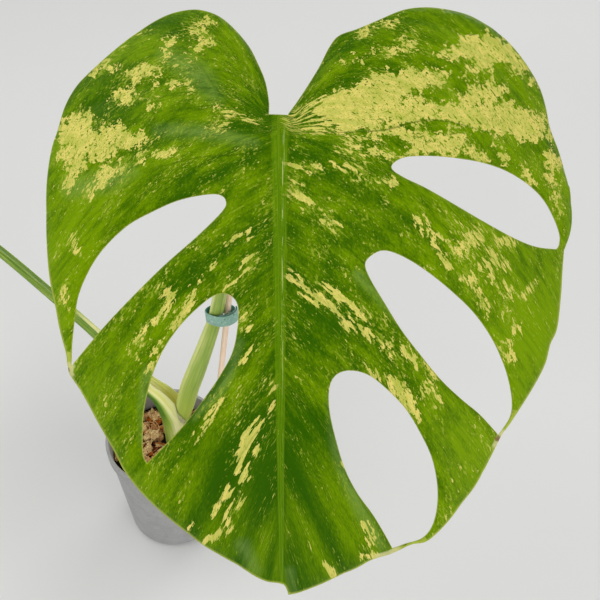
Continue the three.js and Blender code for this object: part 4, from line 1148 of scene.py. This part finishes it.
MAIN_STALK_RADII = [(0, 8), (0.11, 8.6), (0.2, 8.8), (0.3, 7.4), (0.4, 5.8), (0.5, 5.3),
                    (0.67, 4.9), (0.85, 4.5), (1, 5.2)]
SHEATH_RADIUS = 14.0
SIDE_STALK_RADII = [(0, SHEATH_RADIUS), (0.11, SHEATH_RADIUS), (0.16, 11), (0.21, 8),
                    (0.32, 5.6), (0.4, 4.7), (0.65, 4.2), (0.9, 3.6), (1, 3.8)]
SIDE_GUTTER = [(0, 1), (0.14, 1), (0.22, 0.5), (0.32, 0), (1, 0)]
SIDE_OPENING = [(0, 0.42), (0.1, 0.45), (0.2, 0.5), (0.3, 0.5), (0.42, 0.42), (1, 0.42)]


def softened(values, steps):
    """Rounds the corners of a list of values read from straight pieces."""
    kernel = np.ones(steps) / steps
    padded = np.pad(values, steps // 2, mode="edge")
    return np.convolve(padded, kernel, mode="valid")[:len(values)]


def knee(t, at, reach, rise):
    """How much a stalk swells round one place near its blade."""
    return rise * np.exp(-((t - at) / reach) ** 2)


print("the large leaf's stalk ends at", main_end.round(1), "and the small one's at",
      side_end.round(1))

# %% Stalk material
def stalk_material(name, tones, flush):
    """Smooth stalk skin in three tones, from pale to deep green, with lines of fibre. The
    mesh says where the flush colour tints it."""
    tree, surface, material = new_material(name)
    tone = node(tree, "ShaderNodeAttribute", attribute_name="tone").node.outputs["Fac"]
    tint = node(tree, "ShaderNodeAttribute", attribute_name="flush").node.outputs["Fac"]
    place = node(tree, "ShaderNodeAttribute", attribute_name="round").node.outputs["Vector"]
    stripes = node(tree, "ShaderNodeTexNoise", {
        "Vector": node(tree, SCALED, place, (1.0, 1.0, 0.012)),
        "Scale": 1.0, "Detail": 4.0, "Roughness": 0.6})
    clouds = node(tree, "ShaderNodeTexNoise", {
        "Vector": node(tree, SCALED, place, (0.16, 0.16, 0.03)), "Scale": 1.0})
    shade = node(tree, ADD, tone, node(tree, RANGE, stripes, 0.25, 0.75, -0.3, 0.3))
    shade = node(tree, ADD, shade, node(tree, RANGE, clouds, 0.25, 0.75, -0.16, 0.16))
    ramp = node(tree, "ShaderNodeValToRGB", {"Fac": shade})
    elements = ramp.node.color_ramp.elements
    elements.new(0.5)
    for element, code in zip(elements, tones):
        element.color = colour(code)
    tree.links.new(node(tree, BLEND, tint, ramp, flush), surface.inputs["Base Color"])
    tree.links.new(node(tree, "ShaderNodeBump", {
        "Height": stripes, "Strength": 0.3, "Distance": 0.3 * MM}), surface.inputs["Normal"])
    surface.inputs["Roughness"].default_value = 0.42
    surface.inputs["IOR"].default_value = 1.45
    surface.inputs["Specular IOR Level"].default_value = 0.4
    # Juicy tissue: light goes a few millimetres in and comes out yellower
    surface.inputs["Subsurface Weight"].default_value = 0.7
    surface.inputs["Subsurface Radius"].default_value = (1.0, 0.95, 0.55)
    surface.inputs["Subsurface Scale"].default_value = 8 * MM
    print(f"{name}: {len(tree.nodes)} nodes")
    return material


stalk_skin = stalk_material("smooth_pale_stalk_skin", ("#d2d48a", "#97ae4a", "#6c8c2c"),
                            "#a5b545")
sheath_skin = stalk_material("smooth_green_stalk_skin", ("#e6e3a4", "#9ab248", "#487614"),
                             "#d3cf6e")

# %% Large leaf's stalk
STALK_SIDES = 40
STALK_ROWS = 260
UNEVEN = 0.25

main_line = even_steps(smooth_line([*MAIN_STALK_LINE, main_bend_start, main_end], UNEVEN),
                       STALK_ROWS)
t = np.linspace(0, 1, STALK_ROWS + 1)
main_radius = softened(along(MAIN_STALK_RADII, t), 15)
radius = main_radius + knee(t, 0.955, 0.022, 0.7)
angle = np.linspace(0, 2 * np.pi, STALK_SIDES, endpoint=False)
flattening = 1 - 0.05 * np.clip(np.cos(angle - 2.6), 0, 1) ** 4
sections = np.stack([
    radius[:, None] * 0.93 * np.cos(angle) * flattening,
    radius[:, None] * np.sin(angle) * flattening], 2)
points, faces = skin(sweep(main_line, sections))
lengthwise = np.repeat(t * line_length(main_line), STALK_SIDES)
around = np.tile((angle + math.pi) % (2 * math.pi) - math.pi, STALK_ROWS + 1)
# Angle 0 faces the front and minus a quarter turn faces left, where the skin is palest
tone = 0.12 + 0.46 * ease(-1.0, -0.4, around) + 0.5 * ease(-1.9, -2.8, around)
tone += 0.14 * np.exp(-((around - 0.3) / 0.2) ** 2) - 0.16 * ease(0.75, 1.3, around)
tone += 0.12 * ease(150, 320, lengthwise) - 0.16 * (1 - ease(10, 70, lengthwise))
flush = 0.7 * (1 - ease(30, 120, lengthwise))
main_stalk = make_mesh(
    "stalk_large", points, faces, [stalk_skin], {"tone": tone, "flush": flush},
    {"round": np.stack([6 * np.cos(around), 6 * np.sin(around), lengthwise], 1)})
stands_for(main_stalk, "stalk_main")

# %% Shape of the small leaf's stalk
WALL_STEPS = 30
SHEATH_ROWS = 240


def sheath_section(share, size):
    """An open gutter low on the stalk that closes to a half-round rod further up."""
    gutter = along(SIDE_GUTTER, share)
    opening = along(SIDE_OPENING, share) * math.pi
    wall = (0.5 + (0.2 - 0.5) * gutter) * size
    steps = np.linspace(0, 1, WALL_STEPS + 1)
    turn = math.pi / 2 + opening / 2 + steps * (2 * math.pi - opening)
    outer = size * np.stack([np.cos(turn), np.sin(turn)], 1)
    chord = outer[0] + steps[:, None] * (outer[-1] - outer[0])
    thin = np.maximum(0.35, np.sin(steps * math.pi) ** 0.5)
    groove = (size - wall * thin)[:, None] * np.stack([np.cos(turn), np.sin(turn)], 1)
    inner = chord + gutter * (groove - chord)
    inner[:, 1] -= 0.4 * (1 - gutter)
    return np.vstack([outer, inner[::-1]])


def relaxed(line, start, rounds):
    """Rounds a line after its share start, so that a knee in it stays wider than the stalk."""
    line = line.copy()
    first = int(start * len(line))
    for _ in range(rounds):
        line[first + 1:-1] = (line[first:-2] + 2 * line[first + 1:-1] + line[first + 2:]) / 4
    return line


side_line = even_steps(smooth_line([*SIDE_STALK_LINE, side_bend_start, side_end], UNEVEN),
                       SHEATH_ROWS)
side_line = relaxed(side_line, 0.8, 90)
t = np.linspace(0, 1, SHEATH_ROWS + 1)
radius = softened(along(SIDE_STALK_RADII, t), 13) + knee(t, 0.97, 0.02, 0.5)
sections = np.stack([sheath_section(share, size) for share, size in zip(t, radius)])
rings = sweep(side_line, sections)
print("small leaf's stalk:", rings.shape[0], "rings of", rings.shape[1], "points")

# %% Room for the large stalk and the stem
STALK_ROOM = 0.9
STEM_AXIS = np.array((12.5, 8.0))
STEM_ROOM = 10.2

near = rings.reshape(-1, 3)
distance = np.linalg.norm(near[:, None, :] - main_line[None, :, :], axis=2)
closest = distance.argmin(1)
wanted = main_radius[closest] + STALK_ROOM
away = near - main_line[closest]
size = np.linalg.norm(away, axis=1)
tight = (size < wanted) & (closest > 0)
push = np.where(tight, wanted / np.maximum(size, 1e-6), 1)
near = main_line[closest] + away * push[:, None]
from_stem = near[:, :2] - STEM_AXIS
flat_size = np.linalg.norm(from_stem, axis=1)
low = (near[:, 2] < STEM_TOP + 0.6) & (flat_size < STEM_ROOM)
outwards = STEM_ROOM / np.maximum(flat_size[low], 1e-6)
near[low, :2] = STEM_AXIS + from_stem[low] * outwards[:, None]
points, faces = skin(near.reshape(rings.shape))
print(int(tight.sum()), "points moved off the stalk and", int(low.sum()), "off the stem")

# %% Skin of the small leaf's stalk
# Pale along its front lip and on its inner side, deep green below the lip, green as a rod
count = rings.shape[1]
share = np.repeat(t, count)
index = np.tile(np.arange(count), SHEATH_ROWS + 1)
outer_side = index <= WALL_STEPS
lip = np.where(outer_side, index / WALL_STEPS, (2 * WALL_STEPS + 1 - index) / WALL_STEPS)
sheath = 1 - ease(0.2, 0.33, share)
wall_tone = 0.5 + 0.6 * ease(0.05, 0.17, share) * ease(0.3, 0.6, lip)
wall_tone = wall_tone + (0.05 - wall_tone) * ease(0.74, 0.86, lip)
rod_tone = 0.95 - 0.2 * ease(0.55, 0.8, lip)
hollow = 1 - ease(0.4, 0.52, share)
inner_tone = hollow * 0.2 * np.abs(lip - 0.5) + (1 - hollow) * 0.85
tone = np.where(outer_side, sheath * wall_tone + (1 - sheath) * rod_tone, inner_tone)
flush = 0.6 * sheath * np.exp(-((lip - 0.93) / 0.05) ** 2)
lengthwise = share * line_length(side_line)
turn = index / count * 2 * np.pi
side_stalk = make_mesh(
    "stalk_small", points, faces, [sheath_skin], {"tone": tone, "flush": flush},
    {"round": np.stack([7 * np.cos(turn), 7 * np.sin(turn), lengthwise], 1)})
stands_for(side_stalk, "stalk_side")

# %% [markdown]
# ## The stem
# Between the chips stands a short stub of stem, ringed where old leaves have come off. Almost
# all of it is hidden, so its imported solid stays, and only gets its skin: brown-green cork with
# rings a few millimetres apart.

# %% Stem skin
tree, surface, stem_skin = new_material("corky_stem_skin")
place = node(tree, "ShaderNodeTexCoord").node.outputs["Object"]
cork = node(tree, "ShaderNodeTexNoise", {
    "Vector": node(tree, SCALED, place, (120, 120, 420)), "Scale": 1.0, "Detail": 4.0})
cork_colour = node(tree, BLEND, node(tree, RANGE, cork, 0.35, 0.7), "#7d8f42", "#6b5a34")
tree.links.new(cork_colour, surface.inputs["Base Color"])
tree.links.new(node(tree, "ShaderNodeBump", {
    "Height": cork, "Strength": 0.6, "Distance": 0.6 * MM}), surface.inputs["Normal"])
surface.inputs["Roughness"].default_value = 0.7
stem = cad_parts["stem"]
stem.material_slots[0].material = stem_skin
print("stem keeps its packed shape:", len(stem.data.polygons), "faces")

# %% [markdown]
# ## The pot
# A nursery pot is moulded in one piece from plastic, here grey and matte with a 2 mm wall. It
# has a collar round its rim, a rounded foot and drain holes in its floor. It is a lathe shape:
# one profile turned about the middle. The drain holes are cut by a Boolean modifier.

# %% The pot's profile
POT_RADIUS = 55.0
POT_HEIGHT = 132.0
POT_BASE_RADIUS = 47.7
POT_CORNER = 8.0
POT_WALL = 2.0
COLLAR_HEIGHT = 11.0
COLLAR_STEP = 2.3
COLLAR_ROUNDING = 0.8
COLLAR_GROOVES = (2.4, 4.4)
GROOVE = ((0, -0.6), (-0.45, -0.25), (-0.45, 0.25), (0, 0.6))
RIM_OUTER_ROUNDING = 0.7
RIM_INNER_ROUNDING = 0.6
RIM_WIDTH = 2.4
FLOOR_RING = 12


def lathe(profile, sides):
    """Points and faces of a profile of (radius, height) turned about the Z axis. Its two ends
    lie on the axis, so each is one point with a fan of faces."""
    turn = np.linspace(0, 2 * np.pi, sides, endpoint=False)
    rings = np.array([[(r * math.cos(a), r * math.sin(a), z) for a in turn]
                      for r, z in profile[1:-1]])
    points = [(0, 0, profile[0][1]), *rings.reshape(-1, 3), (0, 0, profile[-1][1])]
    rows = len(rings)
    faces = []
    for i in range(sides):
        j = (i + 1) % sides
        faces.append((0, 1 + j, 1 + i))
        for row in range(rows - 1):
            a, b = 1 + row * sides, 1 + (row + 1) * sides
            faces.append((a + i, a + j, b + j, b + i))
        end = 1 + (rows - 1) * sides
        faces.append((end + i, end + j, len(points) - 1))
    return np.array(points), faces


def rounded(corner, start, stop, size):
    """A few points round a corner of a profile, from one angle to another."""
    return [(corner[0] + size * math.cos(math.radians(a)),
             corner[1] + size * math.sin(math.radians(a))) for a in np.linspace(start, stop, 6)]


body_top = POT_HEIGHT - COLLAR_HEIGHT
body_radius = POT_RADIUS - COLLAR_STEP
inner_top = body_radius - POT_WALL
foot_radius = POT_BASE_RADIUS - POT_CORNER
pot_profile = [(0, 0), (FLOOR_RING, 0), (36, 0), (foot_radius, 0)]
pot_profile += rounded((foot_radius, POT_CORNER), -75, 0, POT_CORNER)
pot_profile += [(POT_BASE_RADIUS + (body_radius - POT_BASE_RADIUS) * share,
                 POT_CORNER + (body_top - POT_CORNER) * share)
                for share in (0.25, 0.5, 0.75, 0.99)]
pot_profile += [(body_radius, body_top - 0.4), (body_radius + 0.4, body_top)]
pot_profile += rounded((POT_RADIUS - COLLAR_ROUNDING, body_top + COLLAR_ROUNDING), -80, 0,
                       COLLAR_ROUNDING)
for height in COLLAR_GROOVES:
    pot_profile += [(POT_RADIUS + inset, body_top + height + rise) for inset, rise in GROOVE]
pot_profile += rounded((POT_RADIUS - RIM_OUTER_ROUNDING, POT_HEIGHT - RIM_OUTER_ROUNDING),
                       0, 90, RIM_OUTER_ROUNDING)
pot_profile += rounded((POT_RADIUS - RIM_WIDTH, POT_HEIGHT - RIM_INNER_ROUNDING), 90, 180,
                       RIM_INNER_ROUNDING)
pot_profile += [(inner_top, body_top - 2), (POT_BASE_RADIUS - POT_WALL, POT_CORNER),
                (foot_radius, POT_WALL), (FLOOR_RING, POT_WALL), (0, POT_WALL)]
print("pot's profile:", len(pot_profile), "points")

# %% Grey plastic
tree, surface, pot_plastic = new_material("moulded_grey_polypropylene")
place = node(tree, "ShaderNodeTexCoord").node.outputs["Object"]
marble = node(tree, "ShaderNodeTexNoise", {
    "Vector": place, "Scale": 55.0, "Detail": 5.0, "Roughness": 0.6, "Distortion": 1.2})
speck = node(tree, "ShaderNodeTexNoise", {"Vector": place, "Scale": 900.0})
grey = node(tree, BLEND, node(tree, RANGE, marble, 0.3, 0.7), "#939392", "#a2a1a0")
grey = node(tree, BLEND, node(tree, RANGE, speck, 0.5, 0.72, 0.0, 0.6), grey, "#77777c")
tree.links.new(grey, surface.inputs["Base Color"])
tree.links.new(node(tree, "ShaderNodeBump", {
    "Height": speck, "Strength": 0.25, "Distance": 0.1 * MM}), surface.inputs["Normal"])
surface.inputs["Roughness"].default_value = 0.55
print("grey plastic:", len(tree.nodes), "nodes")

# %% Turn and drill the pot
POT_SIDES = 128
DRAIN_HOLES = 6
DRAIN_RADIUS = 4.0
DRAIN_CIRCLE = 27.0
DRILL = [(0, -3), (DRAIN_RADIUS, -3), (DRAIN_RADIUS, 6), (0, 6)]

points, faces = lathe(pot_profile, POT_SIDES)
pot = make_mesh("pot_shell", points, faces, [pot_plastic])
drills = []
for i in range(DRAIN_HOLES):
    turn = i / DRAIN_HOLES * 2 * math.pi
    centre = np.array((DRAIN_CIRCLE * math.cos(turn), DRAIN_CIRCLE * math.sin(turn), 0))
    points, faces = lathe(DRILL, 24)
    drills.append(make_mesh(f"drill_{i}", points + centre, faces, []))
    cut = pot.modifiers.new("drain", "BOOLEAN")
    cut.object = drills[-1]
    cut.solver = "EXACT"
settle(pot)
for drill in drills:
    bpy.data.objects.remove(drill)
stands_for(pot, "pot")

# %% [markdown]
# ## Bark and coir chips
# The plant grows in a coarse mix of bark chips and chopped coconut husk, tan to red-brown, with
# dark gaps between the pieces. A bed fills the pot, coloured almost black as painted shade for
# those gaps, and loose chips lie on it. The same few chip shapes are used many times, so
# Geometry Nodes scatter them: points are thrown evenly on the bed, a chip is set on each,
# turned and sized at random, and all become one mesh.

# %% Bark material
tree, surface, bark = new_material("bark_and_coir_chips")
tint = node(tree, "ShaderNodeAttribute", attribute_name="tint").node.outputs["Fac"]
grain = node(tree, "ShaderNodeAttribute", attribute_name="grain").node.outputs["Vector"]
fibre = node(tree, "ShaderNodeTexNoise", {
    "Vector": grain, "Scale": 1.0, "Detail": 4.0, "Roughness": 0.65})
# Orange-brown to straw from chip to chip, a few red-brown, dark between fibres, and almost
# black on the bed as painted shade for the gaps between the chips
husk = node(tree, BLEND, node(tree, RANGE, tint, 0.1, 0.8), "#b8641c", "#ffdf9e")
husk = node(tree, BLEND, node(tree, RANGE, tint, 0.9, 0.93), husk, "#74371c")
husk = node(tree, BLEND, node(tree, RANGE, fibre, 0.48, 0.62, 0.0, 0.72), husk, "#4a260c")
# Painted shade: below a tint of 0, which only the bed has, the colour is almost black
husk = node(tree, BLEND, node(tree, RANGE, tint, 0.0, -0.1), husk, "#170d06")
tree.links.new(husk, surface.inputs["Base Color"])
tree.links.new(node(tree, "ShaderNodeBump", {
    "Height": fibre, "Strength": 0.9, "Distance": 0.8 * MM}), surface.inputs["Normal"])
surface.inputs["Roughness"].default_value = 0.92
surface.inputs["Specular IOR Level"].default_value = 0.2
print("bark:", len(tree.nodes), "nodes")

# %% Bed that fills the pot
BED_TOP = SOIL_TOP - 5
BED_SIDES = 64
# The bed's tint lies below 0, so the bark colours paint it almost black as shade for the gaps
BED_SHADE = -0.2


def soil_radius(z):
    """The radius of the bed at a height: the pot's inner side, less a small gap."""
    share = (z - POT_CORNER) / (body_top - 2 - POT_CORNER)
    return POT_BASE_RADIUS + (body_radius - POT_BASE_RADIUS) * share - POT_WALL - CLEARANCE


bed_foot = POT_WALL + CLEARANCE
bed_profile = [(0, bed_foot), (POT_BASE_RADIUS - POT_CORNER - 1, bed_foot),
               (soil_radius(POT_CORNER) - 0.5, POT_CORNER + 1.5), (soil_radius(60), 60)]
bed_profile += [(soil_radius(BED_TOP) * share, BED_TOP)
                for share in (1, 0.9, 0.75, 0.6, 0.45, 0.3, 0)]
points, faces = lathe(bed_profile, BED_SIDES)
bed = make_mesh("bark_mix", points, faces, [bark], {"tint": np.full(len(points), BED_SHADE)},
                {"grain": points * 0.4})

# %% [markdown]
# The tree of nodes below has named inputs for how close together the chips lie and how large
# they are. Stems and the stick need room, so a point is dropped where it is too near them.

# %% Where the chips lie
STICK_AT_SOIL = np.array((46.2, 5, 117.3))
STALKS_AT_SOIL = (12.8 * MM, 8.2 * MM)
STALKS_ROOM = 16.5 * MM
STICK_ROOM = 5 * MM
CHIPS_REACH = 44.5 * MM
MOST_CHIPS = 60000.0

scatter = bpy.data.node_groups.new("scatter_chips", "GeometryNodeTree")
for name, kind in (("Bed", "NodeSocketGeometry"), ("Spacing", "NodeSocketFloat"),
                   ("Chip size", "NodeSocketFloat"), ("Seed", "NodeSocketInt")):
    scatter.interface.new_socket(name, in_out="INPUT", socket_type=kind)
scatter.interface.new_socket("Chips", in_out="OUTPUT", socket_type="NodeSocketGeometry")
given = scatter.nodes.new("NodeGroupInput").outputs
spots = node(scatter, "GeometryNodeDistributePointsOnFaces", {
    "Mesh": given["Bed"], "Distance Min": given["Spacing"], "Density Max": MOST_CHIPS,
    "Seed": given["Seed"]}, distribute_method="POISSON")
position = node(scatter, "GeometryNodeInputPosition")


def near_axis(tree, point, centre, reach):
    """True where a point is nearer than reach to an upright axis."""
    gap = node(tree, "ShaderNodeVectorMath", node(tree, SCALED, point, (1, 1, 0)),
               (*centre, 0), operation="DISTANCE").node.outputs["Value"]
    return node(tree, "FunctionNodeCompare", {"A": gap, "B": reach}, operation="LESS_THAN")


dropped = near_axis(scatter, position, STALKS_AT_SOIL, STALKS_ROOM)
by_stick = near_axis(scatter, position, tuple(STICK_AT_SOIL[:2] * MM), STICK_ROOM)
outside = node(scatter, "FunctionNodeBooleanMath",
               near_axis(scatter, position, (0, 0), CHIPS_REACH), operation="NOT")
height = node(scatter, "ShaderNodeSeparateXYZ", position).node.outputs["Z"]
below = node(scatter, "FunctionNodeCompare", {
    "A": height, "B": (BED_TOP - 1) * MM}, operation="LESS_THAN")
for other in (by_stick, outside, below):
    dropped = node(scatter, "FunctionNodeBooleanMath", dropped, other, operation="OR")
spots = node(scatter, "GeometryNodeDeleteGeometry", {
    "Geometry": spots, "Selection": dropped}, domain="POINT")
print("places for chips:", len(scatter.nodes), "nodes")

# %% Chip shapes and a strand
# Length, breadth and thickness of each kind of chip, as shares of the chip size
CHIP_KINDS = ((1.5, 0.75, 0.5), (1.0, 0.8, 0.6), (1.9, 0.45, 0.35), (1.2, 1.0, 0.35))
# Each chip is bent by broad noise and then splintered lengthwise: stretch and strength
CHIP_WARPS = (((1.7, 1.7, 1.7), 1.2), ((0.9, 7.0, 7.0), 0.5))
HALF_WAY = (0.5, 0.5, 0.5)

kinds = []
for number, chip_size in enumerate(CHIP_KINDS):
    block = node(scatter, "GeometryNodeMeshCube", {
        "Size": chip_size, "Vertices X": 5, "Vertices Y": 6, "Vertices Z": 3})
    for stretch, strength in CHIP_WARPS:
        place = node(scatter, "ShaderNodeVectorMath", node(scatter, "GeometryNodeInputPosition"),
                     stretch, (number * 7.0, 3.1, 1.7), operation="MULTIPLY_ADD")
        shift = node(scatter, "ShaderNodeTexNoise", {
            "Vector": place, "Scale": 1.0, "Detail": 1.0}).node.outputs["Color"]
        shift = node(scatter, "ShaderNodeVectorMath", shift, HALF_WAY, operation="SUBTRACT")
        shift = node(scatter, SCALED, shift, (strength,) * 3)
        block = node(scatter, "GeometryNodeSetPosition", {"Geometry": block, "Offset": shift})
    grain = node(scatter, SCALED, node(scatter, "GeometryNodeInputPosition"),
                 (1.5, 13.0, 15.0))
    block = node(scatter, "GeometryNodeStoreNamedAttribute", {
        "Geometry": block, "Name": "grain", "Value": grain}, data_type="FLOAT_VECTOR")
    kinds.append(node(scatter, "GeometryNodeGeometryToInstance", {"Geometry": block}))
chips = node(scatter, "GeometryNodeJoinGeometry")
for kind in kinds:
    scatter.links.new(kind, chips.node.inputs["Geometry"])
strand = node(scatter, "GeometryNodeCurveToMesh", {
    "Curve": node(scatter, "GeometryNodeCurveQuadraticBezier", {
        "Resolution": 8, "Start": (-0.9, 0, 0), "Middle": (0.2, 0.8, 0.3),
        "End": (0.8, -0.2, 0)}),
    "Profile Curve": node(scatter, "GeometryNodeCurvePrimitiveCircle", {
        "Resolution": 4, "Radius": 0.03}), "Fill Caps": True})
print(len(kinds), "kinds of chip and one strand")

# %% Throw the chips on the bed
MOST_LIFT = 3 * MM
TILT = 0.7
FULL_TURN = 6.28


def thrown(tree, points, thing, picks, low, seed):
    """Sets a thing on each point, lifted, turned, sized and tinted at random."""
    lift = node(tree, "FunctionNodeRandomValue", {
        "Min": (0, 0, low), "Max": (0, 0, low + MOST_LIFT), "Seed": seed},
        data_type="FLOAT_VECTOR")
    lifted = node(tree, "GeometryNodeSetPosition", {"Geometry": points, "Offset": lift})
    turn = node(tree, "FunctionNodeRandomValue", {
        "Min": (-TILT, -TILT, 0.0), "Max": (TILT, TILT, FULL_TURN), "Seed": seed + 1},
        data_type="FLOAT_VECTOR")
    factor = node(tree, "FunctionNodeRandomValue", {"Min": 0.6, "Max": 1.3, "Seed": seed + 2})
    placed = node(tree, "GeometryNodeInstanceOnPoints", {
        "Points": lifted, "Instance": thing, "Pick Instance": picks, "Rotation": turn,
        "Scale": node(tree, TIMES, factor, given["Chip size"])})
    tint = node(tree, "FunctionNodeRandomValue", {"Min": 0.0, "Max": 1.0, "Seed": seed + 3})
    return node(tree, "GeometryNodeStoreNamedAttribute", {
        "Geometry": placed, "Name": "tint", "Value": tint}, data_type="FLOAT", domain="INSTANCE")


joined = node(scatter, "GeometryNodeJoinGeometry")
for part in (given["Bed"], thrown(scatter, spots, chips, True, 0.5 * MM, 3),
             thrown(scatter, spots, strand, False, 4.5 * MM, 20)):
    scatter.links.new(part, joined.node.inputs["Geometry"])
real = node(scatter, "GeometryNodeRealizeInstances", {"Geometry": joined})
dressed = node(scatter, "GeometryNodeSetMaterial", {"Geometry": real, "Material": bark})
scatter.links.new(dressed, scatter.nodes.new("NodeGroupOutput").inputs["Chips"])
print("scatter:", len(scatter.nodes), "nodes")

# %% Fill the pot
CHIP_SPACING = 4.2
CHIP_SIZE = 7.4
CHIP_SEED = 4

modifier = bed.modifiers.new("chips", "NODES")
modifier.node_group = scatter
sockets = {item.name: item.identifier for item in scatter.interface.items_tree}
modifier[sockets["Spacing"]] = CHIP_SPACING * MM
modifier[sockets["Chip size"]] = CHIP_SIZE * MM
modifier[sockets["Seed"]] = CHIP_SEED
settle(bed)
stands_for(bed, "substrate")

# %% [markdown]
# ## The stick
# The stick is a turned round rod of pale soft wood, 5 mm thick. Its pores and growth rings show
# as fine lines along it, so the noise is stretched nearly twenty times along the rod.

# %% Stick
STICK_RADIUS = 2.5
STICK_BOTTOM = 16.0
STICK_TOP = 385.0
STICK_ROUNDING = 0.5
STICK_AT_TIE = np.array((70.3, 4.6, 292.9))

lean = unit(STICK_AT_TIE - STICK_AT_SOIL)
foot = STICK_AT_SOIL + lean * (STICK_BOTTOM - STICK_AT_SOIL[2]) / lean[2]
rod_length = (STICK_TOP - STICK_BOTTOM) / lean[2]
rod_profile = [(0, 0), (STICK_RADIUS * 0.3, 0.3), (STICK_RADIUS * 0.6, 6), (STICK_RADIUS, 14),
               (STICK_RADIUS, rod_length / 2), (STICK_RADIUS, rod_length - 0.6)]
rod_profile += rounded((STICK_RADIUS - STICK_ROUNDING, rod_length - STICK_ROUNDING), 20, 90,
                       STICK_ROUNDING) + [(0, rod_length)]
points, faces = lathe(rod_profile, 32)

tree, surface, stick_wood = new_material("turned_pale_wood")
rod = node(tree, "ShaderNodeAttribute", attribute_name="rod").node.outputs["Vector"]
grain = node(tree, "ShaderNodeTexNoise", {
    "Vector": node(tree, SCALED, rod, (2.2, 2.2, 0.12)),
    "Scale": 1.0, "Detail": 4.0, "Roughness": 0.6})
wood = node(tree, BLEND, node(tree, RANGE, grain, 0.35, 0.7), "#f3dcc6", "#e3bf9f")
tree.links.new(wood, surface.inputs["Base Color"])
tree.links.new(node(tree, "ShaderNodeBump", {
    "Height": grain, "Strength": 0.4, "Distance": 0.15 * MM}), surface.inputs["Normal"])
surface.inputs["Roughness"].default_value = 0.75
stick = make_mesh("round_stick", points @ upright_to(lean).T + foot, faces, [stick_wood], None,
                  {"rod": points})
stands_for(stick, "stick")

# %% [markdown]
# ## The tie
# A soft strap of brushed fabric holds the stalk to the stick: wound once round both and a
# third of a turn more, with its end laid on the outside. Its outer face is pale teal flecked
# with darker fibres, and its inner face and cut edges are a dark teal.

# %% Strap material
def strap_material(name, ground, fleck, fibre):
    """Brushed fabric: short fibres of another tone over its ground, with a few specks."""
    tree, surface, material = new_material(name)
    place = node(tree, "ShaderNodeTexCoord").node.outputs["Object"]
    fuzz = node(tree, "ShaderNodeTexNoise", {
        "Vector": place, "Scale": 1300.0, "Detail": 3.0, "Roughness": 0.7})
    specks = node(tree, "ShaderNodeTexNoise", {"Vector": place, "Scale": 620.0})
    cloth = node(tree, BLEND, node(tree, RANGE, fuzz, 0.45, 0.65, 0.0, 0.5), ground, fleck)
    for low, high, tone in ((0.62, 0.68, "#3f6158"), (0.38, 0.33, fibre)):
        spots = node(tree, RANGE, specks, low, high, 0.0, 0.7)
        cloth = node(tree, BLEND, spots, cloth, tone)
    tree.links.new(cloth, surface.inputs["Base Color"])
    tree.links.new(node(tree, "ShaderNodeBump", {
        "Height": fuzz, "Strength": 0.5, "Distance": 0.15 * MM}), surface.inputs["Normal"])
    surface.inputs["Roughness"].default_value = 0.9
    surface.inputs["Sheen Weight"].default_value = 0.2
    print(f"{name}: {len(tree.nodes)} nodes")
    return material


strap_outer = strap_material("brushed_strap_outer", "#8ab0a0", "#659080", "#bccfc3")
strap_inner = strap_material("brushed_strap_inner", "#1d6b5c", "#0f4b41", "#2f7d6c")

# %% Wind the strap
TIE_RADIUS = 11.4
TIE_THICKNESS = 1.2
TIE_GAP = 0.5
TIE_WIDTH = 9.5
TIE_CENTRE = np.array((65.4, 3.4, 297))
TIE_AXIS = unit((-0.06, 0.26, 0.96))
TIE_TURNS = 1.3
TIE_STEPS = 170
EDGE_ROUNDING = 0.35
OUTER_SIDE = (3, 4, 5, 6)

t = np.linspace(0, 1, TIE_STEPS + 1)
angle = -0.5 * math.pi + t * TIE_TURNS * 2 * math.pi
lifted = ease(0.62, 0.85, t)
half_width = TIE_RADIUS + lifted * (TIE_THICKNESS + TIE_GAP)
half_depth = TIE_RADIUS - 3 + lifted * (TIE_THICKNESS + TIE_GAP + 1.5)
radius = 1 / np.hypot(np.cos(angle) / half_width, np.sin(angle) / half_depth)
half, soft = TIE_WIDTH / 2, EDGE_ROUNDING
outline = [(0, -half + soft), (soft, -half), (TIE_THICKNESS - soft, -half),
           (TIE_THICKNESS, -half + soft), (TIE_THICKNESS, 0), (TIE_THICKNESS, half - soft),
           (TIE_THICKNESS - soft, half), (soft, half), (0, half - soft), (0, 0)]
rings = np.array([[((r + u) * math.cos(a), (r + u) * math.sin(a), v) for u, v in outline]
                  for r, a in zip(radius, angle)])
points, faces = skin(rings[:, ::-1])
slots = [0 if f % len(outline) in OUTER_SIDE else 1 for f in range(len(faces))]
tie = make_mesh("soft_tie", points @ upright_to(TIE_AXIS).T + TIE_CENTRE, faces,
                [strap_outer, strap_inner], slots=slots)
stands_for(tie, "tie")
